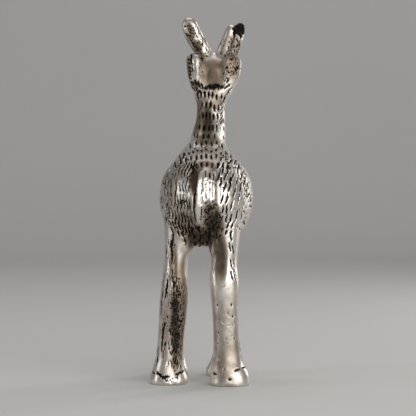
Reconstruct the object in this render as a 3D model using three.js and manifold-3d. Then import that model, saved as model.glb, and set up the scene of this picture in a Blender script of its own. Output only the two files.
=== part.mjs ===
// A standing deer in cast aluminium, one solid casting with its fur cut in as short strokes.
// Millimetres, +Z up. The deer looks along +Y, so +X is its right side. Its feet stand on Z = 0.
import * as THREE from "three";
import { LoftGeometry } from "three/addons/geometries/LoftGeometry.js";
import { mergeVertices } from "three/addons/utils/BufferGeometryUtils.js";
import Module from "manifold-3d";

const wasm = await Module();
wasm.setup();

// Driving sizes, in millimetres
const HEIGHT = 300; // sole to the tip of the taller antler
const STROKE_WIDTH = 1.8; // mark of the tool that cut the fur
const STROKE_DEPTH = 1.0;
const GROOVE_WIDTH = 2.0; // long grooves that run down the flanks and legs
const GROOVE_DEPTH = 1.2;
const TAIL_PROUD = 3.4; // how far the tail stands out from the rump

// The figure's pose and proportions are written in hundredths of its height
const hundredth = HEIGHT / 100;
const ACROSS_X = new THREE.Vector3(1, 0, 0);
const ACROSS_Y = new THREE.Vector3(0, 1, 0);
const DOWN = new THREE.Vector3(0, 0, -1);
const FULL_TURN = 2 * Math.PI;

const { lerp, clamp } = THREE.MathUtils;
const count = (n, make) => Array.from({ length: n }, (_, i) => make(i));
const placed = (x, y, z) => new THREE.Vector3(x, y, z).multiplyScalar(hundredth);

// A fixed irregularity from -1 to 1, so that the strokes look cut by hand and every build is the same
const uneven = (i, j) => Math.sin(12.99 * i + 78.23 * j + 1.7);

// A limb is a loft along a spine. A station is [x, y, z, half width, half depth].
class Limb {
  constructor(stations, { across = ACROSS_X, sides = 14, rows = 14, square = 2, head = 0, foot = 0 }) {
    this.spine = new THREE.CatmullRomCurve3(stations.map(([x, y, z]) => placed(x, y, z)));
    this.girth = new THREE.CatmullRomCurve3(stations.map(([, , , w, d]) => placed(w, d, 0)));
    Object.assign(this, { across, sides, rows, square, head, foot });
  }

  // How far the girth has closed at t. head and foot are the shares of the length that are rounded off.
  closing(t) {
    const bulge = 2.2;
    const round = (share) => Math.pow(Math.max(1 - Math.pow(1 - share, bulge), 0), 1 / bulge);
    const atHead = this.head > t ? round(t / this.head) : 1;
    const atFoot = this.foot > 1 - t ? round((1 - t) / this.foot) : 1;
    return atHead * atFoot;
  }

  point(t, angle) {
    const along = this.spine.getTangent(t);
    const wide = this.across.clone().addScaledVector(along, -along.dot(this.across)).normalize();
    const deep = new THREE.Vector3().crossVectors(along, wide);
    const girth = this.girth.getPoint(t).multiplyScalar(this.closing(t));
    const [c, s] = [Math.cos(angle), Math.sin(angle)];
    const fullness = Math.pow(Math.abs(c), this.square) + Math.pow(Math.abs(s), this.square);
    const reach = Math.pow(fullness, -1 / this.square);
    return this.spine
      .getPoint(t)
      .addScaledVector(wide, girth.x * c * reach)
      .addScaledVector(deep, girth.y * s * reach);
  }

  // The surface at an angle and a share t of the length: the point and its outward normal
  lay(angle, t) {
    const step = 0.004;
    const along = this.point(t + step, angle).sub(this.point(t - step, angle));
    const round = this.point(t, angle + step).sub(this.point(t, angle - step));
    return { at: this.point(t, angle), normal: round.cross(along).normalize() };
  }

  solid() {
    const firstRing = 0.008;
    const rounded = this.head || this.foot;
    const sections = count(this.rows + 1, (i) => {
      const even = i / this.rows;
      const eased = rounded ? lerp(even, 0.5 - 0.5 * Math.cos(Math.PI * even), 0.85) : even;
      const t = clamp(eased, this.head * firstRing, 1 - this.foot * firstRing);
      return count(this.sides, (j) => this.point(t, (FULL_TURN * j) / this.sides));
    });
    return solidOf(new LoftGeometry(sections, { capStart: true, capEnd: true }));
  }
}

// A closed geometry as a solid that can be joined and cut
function solidOf({ attributes, index }) {
  const bare = new THREE.BufferGeometry().setAttribute("position", attributes.position).setIndex(index);
  const merged = mergeVertices(bare, 1e-4);
  const mesh = new wasm.Mesh({
    numProp: 3,
    vertProperties: new Float32Array(merged.attributes.position.array),
    triVerts: new Uint32Array(merged.index.array),
  });
  return new wasm.Manifold(mesh);
}

// A solid as a geometry that can be shown or aimed at
function geometryOf(made) {
  const mesh = made.getMesh();
  return new THREE.BufferGeometry()
    .setAttribute("position", new THREE.BufferAttribute(new Float32Array(mesh.vertProperties), 3))
    .setIndex(new THREE.BufferAttribute(new Uint32Array(mesh.triVerts), 1));
}

const joined = (solids) => solids.reduce((sum, next) => sum.add(next));

// Laying by aim: the first thing that a line meets, from far off along a direction
function aimed(target, origin, direction) {
  const [hit] = new THREE.Raycaster(origin, direction).intersectObject(target);
  return hit ? { at: hit.point, normal: hit.face.normal.clone() } : null;
}
const fromBehind = (target) => (x, z) => aimed(target, placed(x, -60, z), ACROSS_Y);

// One short stroke: a slim eight-sided wedge between two points of a surface
function stroke(lay, [u0, v0], [u1, v1], width = STROKE_WIDTH, depth = STROKE_DEPTH) {
  const [first, middle, last] = [lay(u0, v0), lay((u0 + u1) / 2, (v0 + v1) / 2), lay(u1, v1)];
  if (!first || !middle || !last) return [];
  const along = last.at.clone().sub(first.at);
  const slope = middle.normal.dot(along) / along.lengthSq();
  const normal = middle.normal.addScaledVector(along, -slope).normalize();
  const side = new THREE.Vector3().crossVectors(normal, along).normalize();
  const place = new THREE.Matrix4()
    .makeBasis(side.multiplyScalar(width / 2), normal.multiplyScalar(depth), along.multiplyScalar(0.5))
    .setPosition(middle.at);
  return [solidOf(new THREE.OctahedronGeometry(1).applyMatrix4(place))];
}

// One long groove: a diamond section carried over a surface from one point to another, with a wave in it
function groove(lay, [u0, v0], [u1, v1], { wave = 0, width = GROOVE_WIDTH, depth = GROOVE_DEPTH, steps = 4 }) {
  const path = count(steps + 1, (i) => {
    const share = i / steps;
    return lay(lerp(u0, u1, share) + wave * Math.sin(FULL_TURN * share), lerp(v0, v1, share));
  });
  if (path.includes(null)) return [];
  const sections = path.map(({ at, normal }, i) => {
    const swell = Math.max(Math.sin((Math.PI * i) / steps), 0.12);
    const along = path[Math.min(i + 1, steps)].at.clone().sub(path[Math.max(i - 1, 0)].at);
    const side = new THREE.Vector3().crossVectors(normal, along).setLength((width / 2) * swell);
    const deep = normal.clone().multiplyScalar(depth * swell);
    const open = normal.clone().multiplyScalar(depth); // keeps the groove open where its ends are shallow
    return [at.clone().add(side), at.clone().add(open), at.clone().sub(side), at.clone().sub(deep)];
  });
  return [solidOf(new LoftGeometry(sections, { capStart: true, capEnd: true }))];
}

// A hollow scooped out of a surface: an ellipsoid with its longest axis along a given direction
function scoop({ at, normal }, direction, [width, depth, length], detail = 1) {
  const along = direction.clone().addScaledVector(normal, -normal.dot(direction)).normalize();
  const side = new THREE.Vector3().crossVectors(normal, along);
  const place = new THREE.Matrix4()
    .makeBasis(
      side.multiplyScalar(width * hundredth),
      normal.clone().multiplyScalar(depth * hundredth),
      along.multiplyScalar(length * hundredth),
    )
    .setPosition(at);
  return solidOf(new THREE.IcosahedronGeometry(1, detail).applyMatrix4(place));
}

// Torso: an egg, a little fuller at the rump
const torso = new Limb(
  [
    [-0.1, -19.5, 51.2, 12.1, 12.6],
    [-0.2, -10, 50.4, 12.7, 13.6],
    [-0.2, 0, 49.8, 12.7, 13.5],
    [-0.1, 10, 50.6, 12.4, 13.0],
    [0.1, 19.5, 52.6, 11.0, 11.6],
  ],
  { sides: 26, rows: 13, square: 2.1, head: 0.45, foot: 0.42 },
);

const neck = new Limb(
  [
    [0.0, 4.5, 53.0, 10.4, 9.4],
    [-0.2, 5.8, 60.0, 8.6, 9.2],
    [0.1, 7.5, 63.4, 5.3, 7.6],
    [0.6, 9.2, 67.4, 4.7, 6.0],
    [1.0, 10.0, 70.5, 4.1, 5.0],
    [1.2, 10.6, 74.6, 3.9, 4.5],
    [1.2, 11.0, 78.0, 4.7, 4.6],
    [1.4, 11.8, 81.5, 5.6, 4.8],
    [1.6, 12.6, 85.5, 4.8, 4.0],
  ],
  { sides: 16, rows: 12 },
);

const head = new Limb(
  [
    [1.4, 6.4, 84.4, 3.8, 4.4],
    [1.4, 11.5, 84.8, 4.7, 4.6],
    [1.4, 16.0, 84.8, 4.5, 4.3],
    [1.4, 20.5, 82.6, 3.1, 3.3],
    [1.4, 25.0, 80.4, 2.5, 2.5],
    [1.4, 28.5, 78.8, 2.3, 2.0],
  ],
  { sides: 14, rows: 11, head: 0.34, foot: 0.14 },
);

// Each leg goes from inside the torso to a flat sole. The lowest stations are the hoof.
const LEG = { sides: 12, rows: 13, square: 2.3 };
const legs = {
  rearLeft: new Limb(
    [
      [-5.0, -8.0, 55, 3.5, 4.5],
      [-6.8, -8.9, 46, 4.6, 6.2],
      [-7.9, -9.6, 37, 3.5, 5.0],
      [-8.5, -10.4, 32, 3.0, 4.1],
      [-8.6, -11.4, 26.5, 3.6, 4.1],
      [-9.1, -10.4, 20, 3.7, 3.7],
      [-9.7, -9.2, 12.5, 3.5, 3.5],
      [-10.0, -8.7, 6.6, 3.8, 3.9],
      [-10.3, -8.6, 3.6, 4.4, 4.5],
      [-10.3, -8.5, 1.6, 5.1, 5.0],
      [-10.3, -8.5, 0, 5.2, 5.1],
    ],
    LEG,
  ),
  rearRight: new Limb(
    [
      [3.5, -8.5, 55, 4.0, 5.0],
      [4.9, -9.6, 46, 4.3, 6.4],
      [4.8, -10.4, 37, 3.8, 5.4],
      [4.6, -11.2, 32, 3.5, 4.3],
      [4.6, -12.2, 28, 3.9, 4.1],
      [4.9, -12.0, 21, 3.6, 3.7],
      [5.2, -11.6, 13.5, 3.4, 3.6],
      [5.5, -11.3, 7.3, 3.8, 3.9],
      [5.5, -11.3, 4.6, 4.7, 4.7],
      [6.1, -11.3, 1.8, 5.3, 5.2],
      [6.1, -11.3, 0, 5.4, 5.3],
    ],
    LEG,
  ),
  foreLeft: new Limb(
    [
      [-4.5, 8.5, 53, 4.0, 5.0],
      [-6.0, 9.4, 45, 4.5, 5.4],
      [-7.9, 9.8, 38, 3.6, 4.4],
      [-8.5, 10.2, 31, 3.2, 3.8],
      [-8.7, 10.6, 25, 3.5, 3.8],
      [-8.7, 10.2, 19, 3.3, 3.5],
      [-9.4, 9.9, 12, 3.2, 3.4],
      [-9.9, 9.7, 6.6, 3.7, 3.8],
      [-10.1, 9.7, 3.6, 4.4, 4.5],
      [-10.2, 9.7, 1.6, 5.0, 5.0],
      [-10.2, 9.7, 0, 5.1, 5.1],
    ],
    LEG,
  ),
  foreRight: new Limb(
    [
      [3.4, 8.5, 53, 4.0, 5.0],
      [4.6, 9.4, 45, 4.4, 5.4],
      [4.9, 9.8, 38, 3.6, 4.4],
      [4.8, 10.2, 31, 3.3, 3.8],
      [4.7, 10.6, 25, 3.4, 3.8],
      [4.8, 10.2, 19, 3.2, 3.5],
      [4.9, 9.9, 12, 3.2, 3.4],
      [5.0, 9.7, 6.6, 3.3, 3.8],
      [4.9, 9.7, 3.6, 4.0, 4.5],
      [4.8, 9.7, 1.6, 5.0, 5.0],
      [4.8, 9.7, 0, 5.1, 5.1],
    ],
    LEG,
  ),
};

// Antlers: blunt, thick prongs that stand in a V. The right one is two prongs grown together.
const ANTLER = { across: ACROSS_Y, sides: 10, rows: 7, foot: 0.24 };
const antlers = {
  left: new Limb(
    [
      [0.9, 12.6, 86.5, 2.0, 2.2],
      [-1.4, 12.2, 91.0, 1.9, 2.4],
      [-3.4, 11.8, 94.3, 1.8, 2.4],
      [-4.7, 11.4, 97.3, 1.8, 2.3],
      [-5.6, 11.0, 99.9, 1.7, 2.0],
    ],
    ANTLER,
  ),
  rightInner: new Limb(
    [
      [3.0, 12.6, 86.5, 1.8, 1.8],
      [4.6, 12.2, 91.0, 1.8, 1.8],
      [6.1, 11.7, 94.4, 1.7, 1.7],
      [7.1, 11.2, 98.0, 1.5, 1.3],
    ],
    ANTLER,
  ),
  rightOuter: new Limb(
    [
      [4.9, 11.8, 85.0, 2.0, 2.0],
      [7.3, 11.6, 91.0, 1.7, 1.8],
      [8.5, 11.3, 94.4, 1.6, 1.7],
      [9.6, 11.0, 98.5, 1.5, 1.6],
    ],
    ANTLER,
  ),
};

// Ears: stout leaves that rise from the sides of the neck and end blunt
const EAR = { sides: 10, rows: 6, square: 2.3, foot: 0.12 };
const ears = {
  left: new Limb(
    [
      [0.0, 10.2, 76.8, 2.4, 2.4],
      [-1.7, 9.6, 81.0, 2.8, 2.4],
      [-2.9, 9.2, 85.2, 2.6, 2.0],
      [-3.6, 9.2, 89.9, 2.3, 1.7],
    ],
    EAR,
  ),
  right: new Limb(
    [
      [2.8, 10.2, 76.8, 2.5, 2.4],
      [4.9, 9.6, 80.8, 2.9, 2.4],
      [6.4, 9.2, 84.6, 2.9, 2.1],
      [7.2, 9.2, 89.2, 2.6, 1.8],
    ],
    EAR,
  ),
};

// Eyes: almonds that stand out from the sides of the head
function eye(angle) {
  const { at, normal } = head.lay(angle, 0.46);
  return scoop({ at, normal }, ACROSS_Y, [0.6, 0.45, 1.0], 0);
}
const eyes = [eye(-0.45), eye(Math.PI + 0.45)];

// Tail: a broad tongue laid down the rump, with a narrow strip that goes on along its left edge
const rump = new THREE.Mesh(geometryOf(torso.solid()));
const onRump = fromBehind(rump);
function tailStation(x, z, halfWidth, rise) {
  const y = onRump(x, z).at.y / hundredth;
  const thick = TAIL_PROUD / hundredth;
  return [x, y + thick * (0.5 - rise), z, halfWidth, thick];
}
const TAIL = { sides: 10, rows: 6, square: 2.8 };
const tails = {
  tongue: new Limb(
    [
      tailStation(0.3, 59.0, 1.4, -0.2),
      tailStation(0.1, 56.0, 2.2, 0.35),
      tailStation(-0.2, 52.0, 2.5, 0.5),
      tailStation(-0.3, 48.4, 2.5, 0.3),
    ],
    { ...TAIL, head: 0.12, foot: 0.12 },
  ),
  strip: new Limb(
    [
      tailStation(-1.7, 51.0, 1.0, 0.45),
      tailStation(-1.9, 47.6, 0.9, 0.4),
      tailStation(-2.0, 43.4, 0.5, 0.1),
    ],
    { ...TAIL, foot: 0.2 },
  ),
};

const body = joined(
  [torso, neck, head, legs, antlers, ears, tails]
    .flatMap((limbs) => (limbs instanceof Limb ? [limbs] : Object.values(limbs)))
    .map((limb) => limb.solid())
    .concat(eyes),
);
const blank = new THREE.Mesh(geometryOf(body));
const onBack = fromBehind(blank);

// Hollows that shape the head, the antlers, the rump and the legs
const SLANT_LEFT = new THREE.Vector3(1, 0, -0.6);
const SLANT_RIGHT = new THREE.Vector3(1, 0, 0.6);
const hollows = [
  scoop(onBack(1.5, 80.2), ACROSS_X, [0.8, 1.3, 2.4]), // under the skull
  scoop(onBack(-2.3, 81.6), SLANT_LEFT, [0.6, 0.8, 2.0], 0),
  scoop(onBack(5.3, 81.2), SLANT_RIGHT, [0.6, 0.8, 2.0], 0),
  scoop(onBack(6.9, 85.6), DOWN, [1.6, 0.9, 2.8]), // cup of the right ear
  scoop(onBack(-4.3, 87.2), DOWN, [0.6, 0.9, 2.8], 0), // fold of the left ear
  scoop(antlers.left.lay(0.75 * Math.PI, 0.72), antlers.left.spine.getTangent(0.7), [1.1, 0.8, 2.8]),
  scoop({ at: placed(9.3, 10.6, 97.9), normal: ACROSS_Y }, DOWN, [1.1, 1.3, 1.6]), // broken tip
  scoop(onRump(-3.8, 54.8), DOWN, [1.1, 1.0, 3.8]), // beside the tail
  scoop(onRump(1.4, 43.6), DOWN, [3.2, 0.6, 4.8]), // below the tail
  scoop(onBack(3.9, 32.8), DOWN, [1.5, 0.8, 6.6]), // back of the right thigh
];

// Fur on the neck: strokes one above another in columns. In front only every second one is cut.
function neckFur() {
  const [columns, rows] = [13, 6];
  const lay = (angle, t) => neck.lay(angle, t);
  return count(columns * rows, (i) => {
    const [column, row] = [i % columns, Math.floor(i / columns)];
    const inFront = column > 0 && column < columns / 2;
    if (inFront && row % 2) return [];
    const angle = (FULL_TURN * (column + 0.12 * uneven(row, column))) / columns;
    const top = 0.29 + 0.09 * row + 0.01 * uneven(column, row);
    return stroke(lay, [angle, top], [angle + 0.05 * uneven(column, row), top + 0.05]);
  }).flat();
}

// Fur above the tail: three rows that follow the round of the rump
function rumpFur() {
  const rows = [62.4, 60.9, 58.6];
  return rows.flatMap((z, row) =>
    count(9, (i) => {
      const x = 1.35 * (i - 4) + 0.3 * uneven(i, row);
      const low = z - 0.055 * x * x;
      return stroke(onBack, [x, low], [x - 0.1, low - 1.5]);
    }),
  );
}

// Fur on the right haunch: slanting strokes
function rightFur() {
  const [columns, rows] = [4, 5];
  return count(columns * rows, (i) => {
    const [column, row] = [i % columns, Math.floor(i / columns)];
    const x = 4.2 + 1.5 * column + 0.5 * (row % 2) + 0.25 * uneven(column, row);
    const z = 57.4 - 3.6 * row - 0.5 * column;
    return stroke(onBack, [x + 0.4, z], [x - 0.4, z - 2.8]);
  }).flat();
}

// The grain of the left haunch: long wavy grooves, side by side
function leftGrain() {
  const lines = 6;
  return count(lines, (i) => {
    const x = -10.5 + 1.35 * i;
    const top = 58.4 - 0.9 * (lines - 1 - i) + 0.8 * uneven(i, 2);
    const upper = groove(onBack, [x + 0.3, top], [x, 48 + uneven(i, 1)], { wave: 0.15 });
    if (i === lines - 1) return upper; // below it the rump turns under
    const [low, foot] = [46.5 + uneven(i, 1), 38.5 + uneven(i, 5)];
    return [...upper, ...groove(onBack, [x + 0.2, low], [x + 0.3, foot], { wave: -0.2 })];
  }).flat();
}

// Fur on the barrel: rings of strokes that sweep back along the flanks
function barrelFur() {
  const rings = 5;
  const lay = (angle, t) => torso.lay(angle, t);
  return count(rings, (ring) => {
    const t = lerp(0.24, 0.84, ring / (rings - 1));
    const around = 10;
    return count(around, (k) => {
      const angle = (FULL_TURN * (k + 0.5 * (ring % 2) + 0.15 * uneven(ring, k))) / around;
      return stroke(lay, [angle, t + 0.03], [angle + 0.12 * Math.cos(angle), t - 0.03]);
    }).flat();
  }).flat();
}

// Long grooves that run down the outer side of a leg
function legGrain(limb, outward, lines) {
  const middle = outward > 0 ? 0 : Math.PI;
  const lay = (angle, t) => limb.lay(angle, t);
  return count(lines, (i) => {
    const turn = outward * lerp(-0.9, 1.1, i / (lines - 1));
    const top = 0.34 + 0.06 * uneven(i, 1);
    return groove(lay, [middle + turn, top], [middle + 0.8 * turn, top + 0.24], { wave: 0.08, steps: 3 });
  }).flat();
}

// Mouth: a groove round the muzzle, and a pair of nostrils
function mouth() {
  const lay = (angle, t) => head.lay(angle, t);
  const nostril = (angle) => stroke(lay, [angle, 0.965], [angle, 0.93]);
  return [
    groove(lay, [0.35, 0.7], [0.55, 0.955], { steps: 3 }),
    groove(lay, [Math.PI - 0.35, 0.7], [Math.PI - 0.55, 0.955], { steps: 3 }),
    nostril(-0.9),
    nostril(Math.PI + 0.9),
  ].flat();
}

// A stroke counts only where enough of it stands proud of the joined body, so that none is cut inside the metal
const PROUD_SHARE = 0.3;
const strokes = [
  ...neckFur(),
  ...rumpFur().flat(),
  ...rightFur(),
  ...leftGrain(),
  ...barrelFur(),
  ...legGrain(legs.rearLeft, -1, 3),
  ...legGrain(legs.rearRight, 1, 3),
  ...legGrain(legs.foreLeft, -1, 2),
  ...legGrain(legs.foreRight, 1, 2),
  ...mouth(),
  ...groove(onBack, [-14.0, 4.6], [-6.2, 2.8], {}), // crease over the left hoof
].filter((cutter) => cutter.subtract(body).volume() > PROUD_SHARE * cutter.volume());

const figure = body.subtract(joined(hollows)).subtract(joined(strokes));

const aluminium = new THREE.MeshStandardMaterial({ color: 0xb9b2a8, metalness: 1, roughness: 0.32 });
const deer = new THREE.Mesh(geometryOf(figure), aluminium);
deer.name = "deer";

// The origin is on the floor, under the middle of the figure
const { min, max } = figure.boundingBox();
deer.position.set(-(min[0] + max[0]) / 2, -(min[1] + max[1]) / 2, -min[2]);

const statue = new THREE.Group();
statue.add(deer);
export default statue;
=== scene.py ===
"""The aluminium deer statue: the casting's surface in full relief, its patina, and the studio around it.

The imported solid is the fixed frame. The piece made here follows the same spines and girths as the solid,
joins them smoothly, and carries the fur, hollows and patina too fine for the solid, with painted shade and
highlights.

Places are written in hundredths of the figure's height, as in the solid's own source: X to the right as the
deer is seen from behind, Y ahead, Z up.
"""
import logging
import math
import random
from dataclasses import dataclass, field
from enum import Enum
from typing import Iterable, Optional, Sequence

import bmesh
import bpy
import numpy as np
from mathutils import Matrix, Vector
from mathutils.bvhtree import BVHTree
from mathutils.kdtree import KDTree
from mathutils.noise import noise as lattice_noise


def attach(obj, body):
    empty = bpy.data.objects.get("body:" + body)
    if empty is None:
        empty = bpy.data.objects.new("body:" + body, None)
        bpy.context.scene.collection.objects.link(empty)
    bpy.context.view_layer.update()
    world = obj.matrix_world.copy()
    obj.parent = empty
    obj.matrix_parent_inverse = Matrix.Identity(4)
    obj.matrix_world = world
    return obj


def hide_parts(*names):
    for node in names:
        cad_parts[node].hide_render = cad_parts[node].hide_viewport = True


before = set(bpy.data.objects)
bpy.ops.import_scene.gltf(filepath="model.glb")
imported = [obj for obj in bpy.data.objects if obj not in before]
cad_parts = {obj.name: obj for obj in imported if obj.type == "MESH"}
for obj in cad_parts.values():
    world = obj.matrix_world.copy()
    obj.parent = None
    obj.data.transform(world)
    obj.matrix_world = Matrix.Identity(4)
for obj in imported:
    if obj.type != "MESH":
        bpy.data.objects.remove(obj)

LOG = logging.getLogger("deer")
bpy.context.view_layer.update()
Array = np.ndarray
Point = tuple[float, float, float]
Station = tuple[float, float, float, float, float]
Spot = tuple[float, float]
Row = tuple[float, float, tuple[float, ...]]
Socket = bpy.types.NodeSocket

HUNDREDTH = 0.003
FULL_TURN = 2 * math.pi
RIGHT: Point = (1, 0, 0)
AHEAD: Point = (0, 1, 0)
UP: Point = (0, 0, 1)
DOWN: Point = (0, 0, -1)


def placed(x: float, y: float, z: float) -> Vector:
    """Give a place written in hundredths of the figure's height in metres."""
    return Vector((x, y, z)) * HUNDREDTH


def uneven(i: float, j: float) -> float:
    """Give a fixed irregularity from -1 to 1, so that the marks look cut by hand."""
    return math.sin(12.99 * i + 78.23 * j + 1.7)


def band(values: Array, middle: float, reach: float) -> Array:
    """Give 1 at the middle of a band, falling softly to 0 beyond its reach."""
    return np.exp(-(((values - middle) / reach) ** 2))


def ramp(values: Array, start: float, length: float) -> Array:
    """Give a straight rise from 0 at the start to 1 after a length."""
    return np.clip((values - start) / length, 0, 1)


def through(points: Array, t: Array) -> Array:
    """Follow a centripetal curve through points.

    Args:
        points: The points, one a row.
        t: Shares of the way, from 0 to 1.

    Returns:
        The place at each share, one a row.
    """
    ends = np.vstack([2 * points[0] - points[1], points, 2 * points[-1] - points[-2]])
    position = np.clip(t, 0, 1) * (len(points) - 1)
    i = np.minimum(position.astype(int), len(points) - 2)
    w = (position - i)[:, None]
    p = [ends[i + k] for k in range(4)]
    gaps = [np.linalg.norm(p[k + 1] - p[k], axis=1)[:, None] ** 0.5 for k in range(3)]
    middle = np.where(gaps[1] < 1e-4, 1.0, gaps[1])
    before = np.where(gaps[0] < 1e-4, middle, gaps[0])
    after = np.where(gaps[2] < 1e-4, middle, gaps[2])
    out = ((p[1] - p[0]) / before - (p[2] - p[0]) / (before + middle) + (p[2] - p[1]) / middle) * middle
    into = ((p[2] - p[1]) / middle - (p[3] - p[1]) / (middle + after) + (p[3] - p[2]) / after) * middle
    a = 2 * p[1] - 2 * p[2] + out + into
    b = -3 * p[1] + 3 * p[2] - 2 * out - into
    return ((a * w + b) * w + out) * w + p[1]


@dataclass(frozen=True)
class Limb:
    """A loft along a spine.

    Attributes:
        stations: Rows of x, y, z, half width and half depth, in hundredths of the height.
        across: The direction that the half width is measured along.
        square: 2 for an oval section, more for a squarer one.
        head: Share of the length that is rounded off at the start.
        foot: Share of the length that is rounded off at the end.
        rows: Rings along the limb.
        segments: Sides of each ring.
    """

    stations: tuple[Station, ...]
    across: Point = (1.0, 0.0, 0.0)
    square: float = 2.0
    head: float = 0.0
    foot: float = 0.0
    rows: int = 60
    segments: int = 48

    def closing(self, t: Array) -> Array:
        """Give how far the girth has closed towards the rounded ends.

        Args:
            t: Shares of the length.

        Returns:
            The girth's share at each of them, from 0 to 1.
        """
        bulge = 2.2

        def rounded(share: Array) -> Array:
            """Give the girth of a rounded end."""
            return np.maximum(1 - np.power(1 - np.clip(share, 0, 1), bulge), 0) ** (1 / bulge)

        at_head = rounded(t / self.head) if self.head else np.ones_like(t)
        at_foot = rounded((1 - t) / self.foot) if self.foot else np.ones_like(t)
        return at_head * at_foot

    def points(self, angle: Array, t: Array) -> Array:
        """Give the surface at angles round the limb and shares of its length.

        Args:
            angle: Angles from the across direction, in radians.
            t: Shares of the length.

        Returns:
            The places in metres, one a row.
        """
        rows = np.array(self.stations, dtype=float)
        spine, girth = rows[:, :3], rows[:, 3:]
        step = 1e-3
        along = through(spine, np.minimum(t + step, 1)) - through(spine, np.maximum(t - step, 0))
        along /= np.linalg.norm(along, axis=1)[:, None]
        across = np.array(self.across)
        wide = across - along * (along @ across)[:, None]
        wide /= np.linalg.norm(wide, axis=1)[:, None]
        deep = np.cross(along, wide)
        half = through(girth, t) * self.closing(t)[:, None]
        c, s = np.cos(angle), np.sin(angle)
        reach = (np.abs(c) ** self.square + np.abs(s) ** self.square) ** (-1 / self.square)
        offset = wide * (half[:, 0] * c * reach)[:, None] + deep * (half[:, 1] * s * reach)[:, None]
        return (through(spine, t) + offset) * HUNDREDTH

    def lay(self, angle: float, t: float) -> Vector:
        """Give one place on the surface."""
        return Vector(self.points(np.array([angle]), np.array([t]))[0])

    def mould(self) -> bpy.types.Mesh:
        """Make the limb as a closed mesh: a cylinder with rings, moved onto the loft.

        Returns:
            The mesh.
        """
        bm = bmesh.new()
        bmesh.ops.create_cone(bm, cap_ends=True, segments=self.segments, radius1=1, radius2=1, depth=2)
        rails = [edge for edge in bm.edges if abs(edge.verts[0].co.z - edge.verts[1].co.z) > 1]
        bmesh.ops.subdivide_edges(bm, edges=rails, cuts=self.rows - 1)
        unit = np.array([vert.co[:] for vert in bm.verts])
        even = (unit[:, 2] + 1) / 2
        rounded = 0.85 if self.head or self.foot else 0.0
        t = even + rounded * (0.5 - 0.5 * np.cos(np.pi * even) - even)
        open_pole = 0.002
        t = np.clip(t, self.head * open_pole, 1 - self.foot * open_pole)
        for vert, co in zip(bm.verts, self.points(np.arctan2(unit[:, 1], unit[:, 0]), t)):
            vert.co = co
        mesh = bpy.data.meshes.new("limb")
        bm.to_mesh(mesh)
        bm.free()
        return mesh


@dataclass(frozen=True)
class Mark:
    """One mark of the chisel.

    Attributes:
        path: Places along it, near the surface.
        width: Its width, in metres.
        depth: Its depth at the middle, in metres. Below 0 it is a ridge.
        stain: How dark it is, from 0 to 1.
        taper: How far its ends narrow, from 0 to 1.
    """

    path: tuple[Vector, ...]
    width: float
    depth: float
    stain: float = 1.0
    taper: float = 0.6


@dataclass(frozen=True)
class Hollow:
    """A soft hollow, or a swelling where its depth is below 0.

    Attributes:
        seen: Its middle x, z in hundredths, as it is seen from behind.
        along: The direction of its length.
        radii: Half width, depth and half length, in hundredths.
        stain: How dark its bottom is.
        inward: The direction that it is pressed in.
        edge: Below 1 for a crisp rim, above 1 for a soft one.
    """

    seen: Spot
    along: Point
    radii: Point
    stain: float = 0.0
    inward: Point = AHEAD
    edge: float = 0.75


@dataclass(frozen=True)
class Patch:
    """A soft patch of the surface's colour, for tarnishing, for painted shade and for painted highlights.

    Attributes:
        centre: Its middle, in hundredths.
        radii: Its half sizes along X, Y and Z, in hundredths.
        tarnish_and_painted_light: How brown its middle is, or below 0 how far it is lightened. The brown is
            tarnishing in some patches and painted shade in others; the lightening is mostly a painted
            highlight.
        stain: How thick the rough patina is at its middle.
    """

    centre: Point
    radii: Point
    tarnish_and_painted_light: float
    stain: float = 0.0


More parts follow.
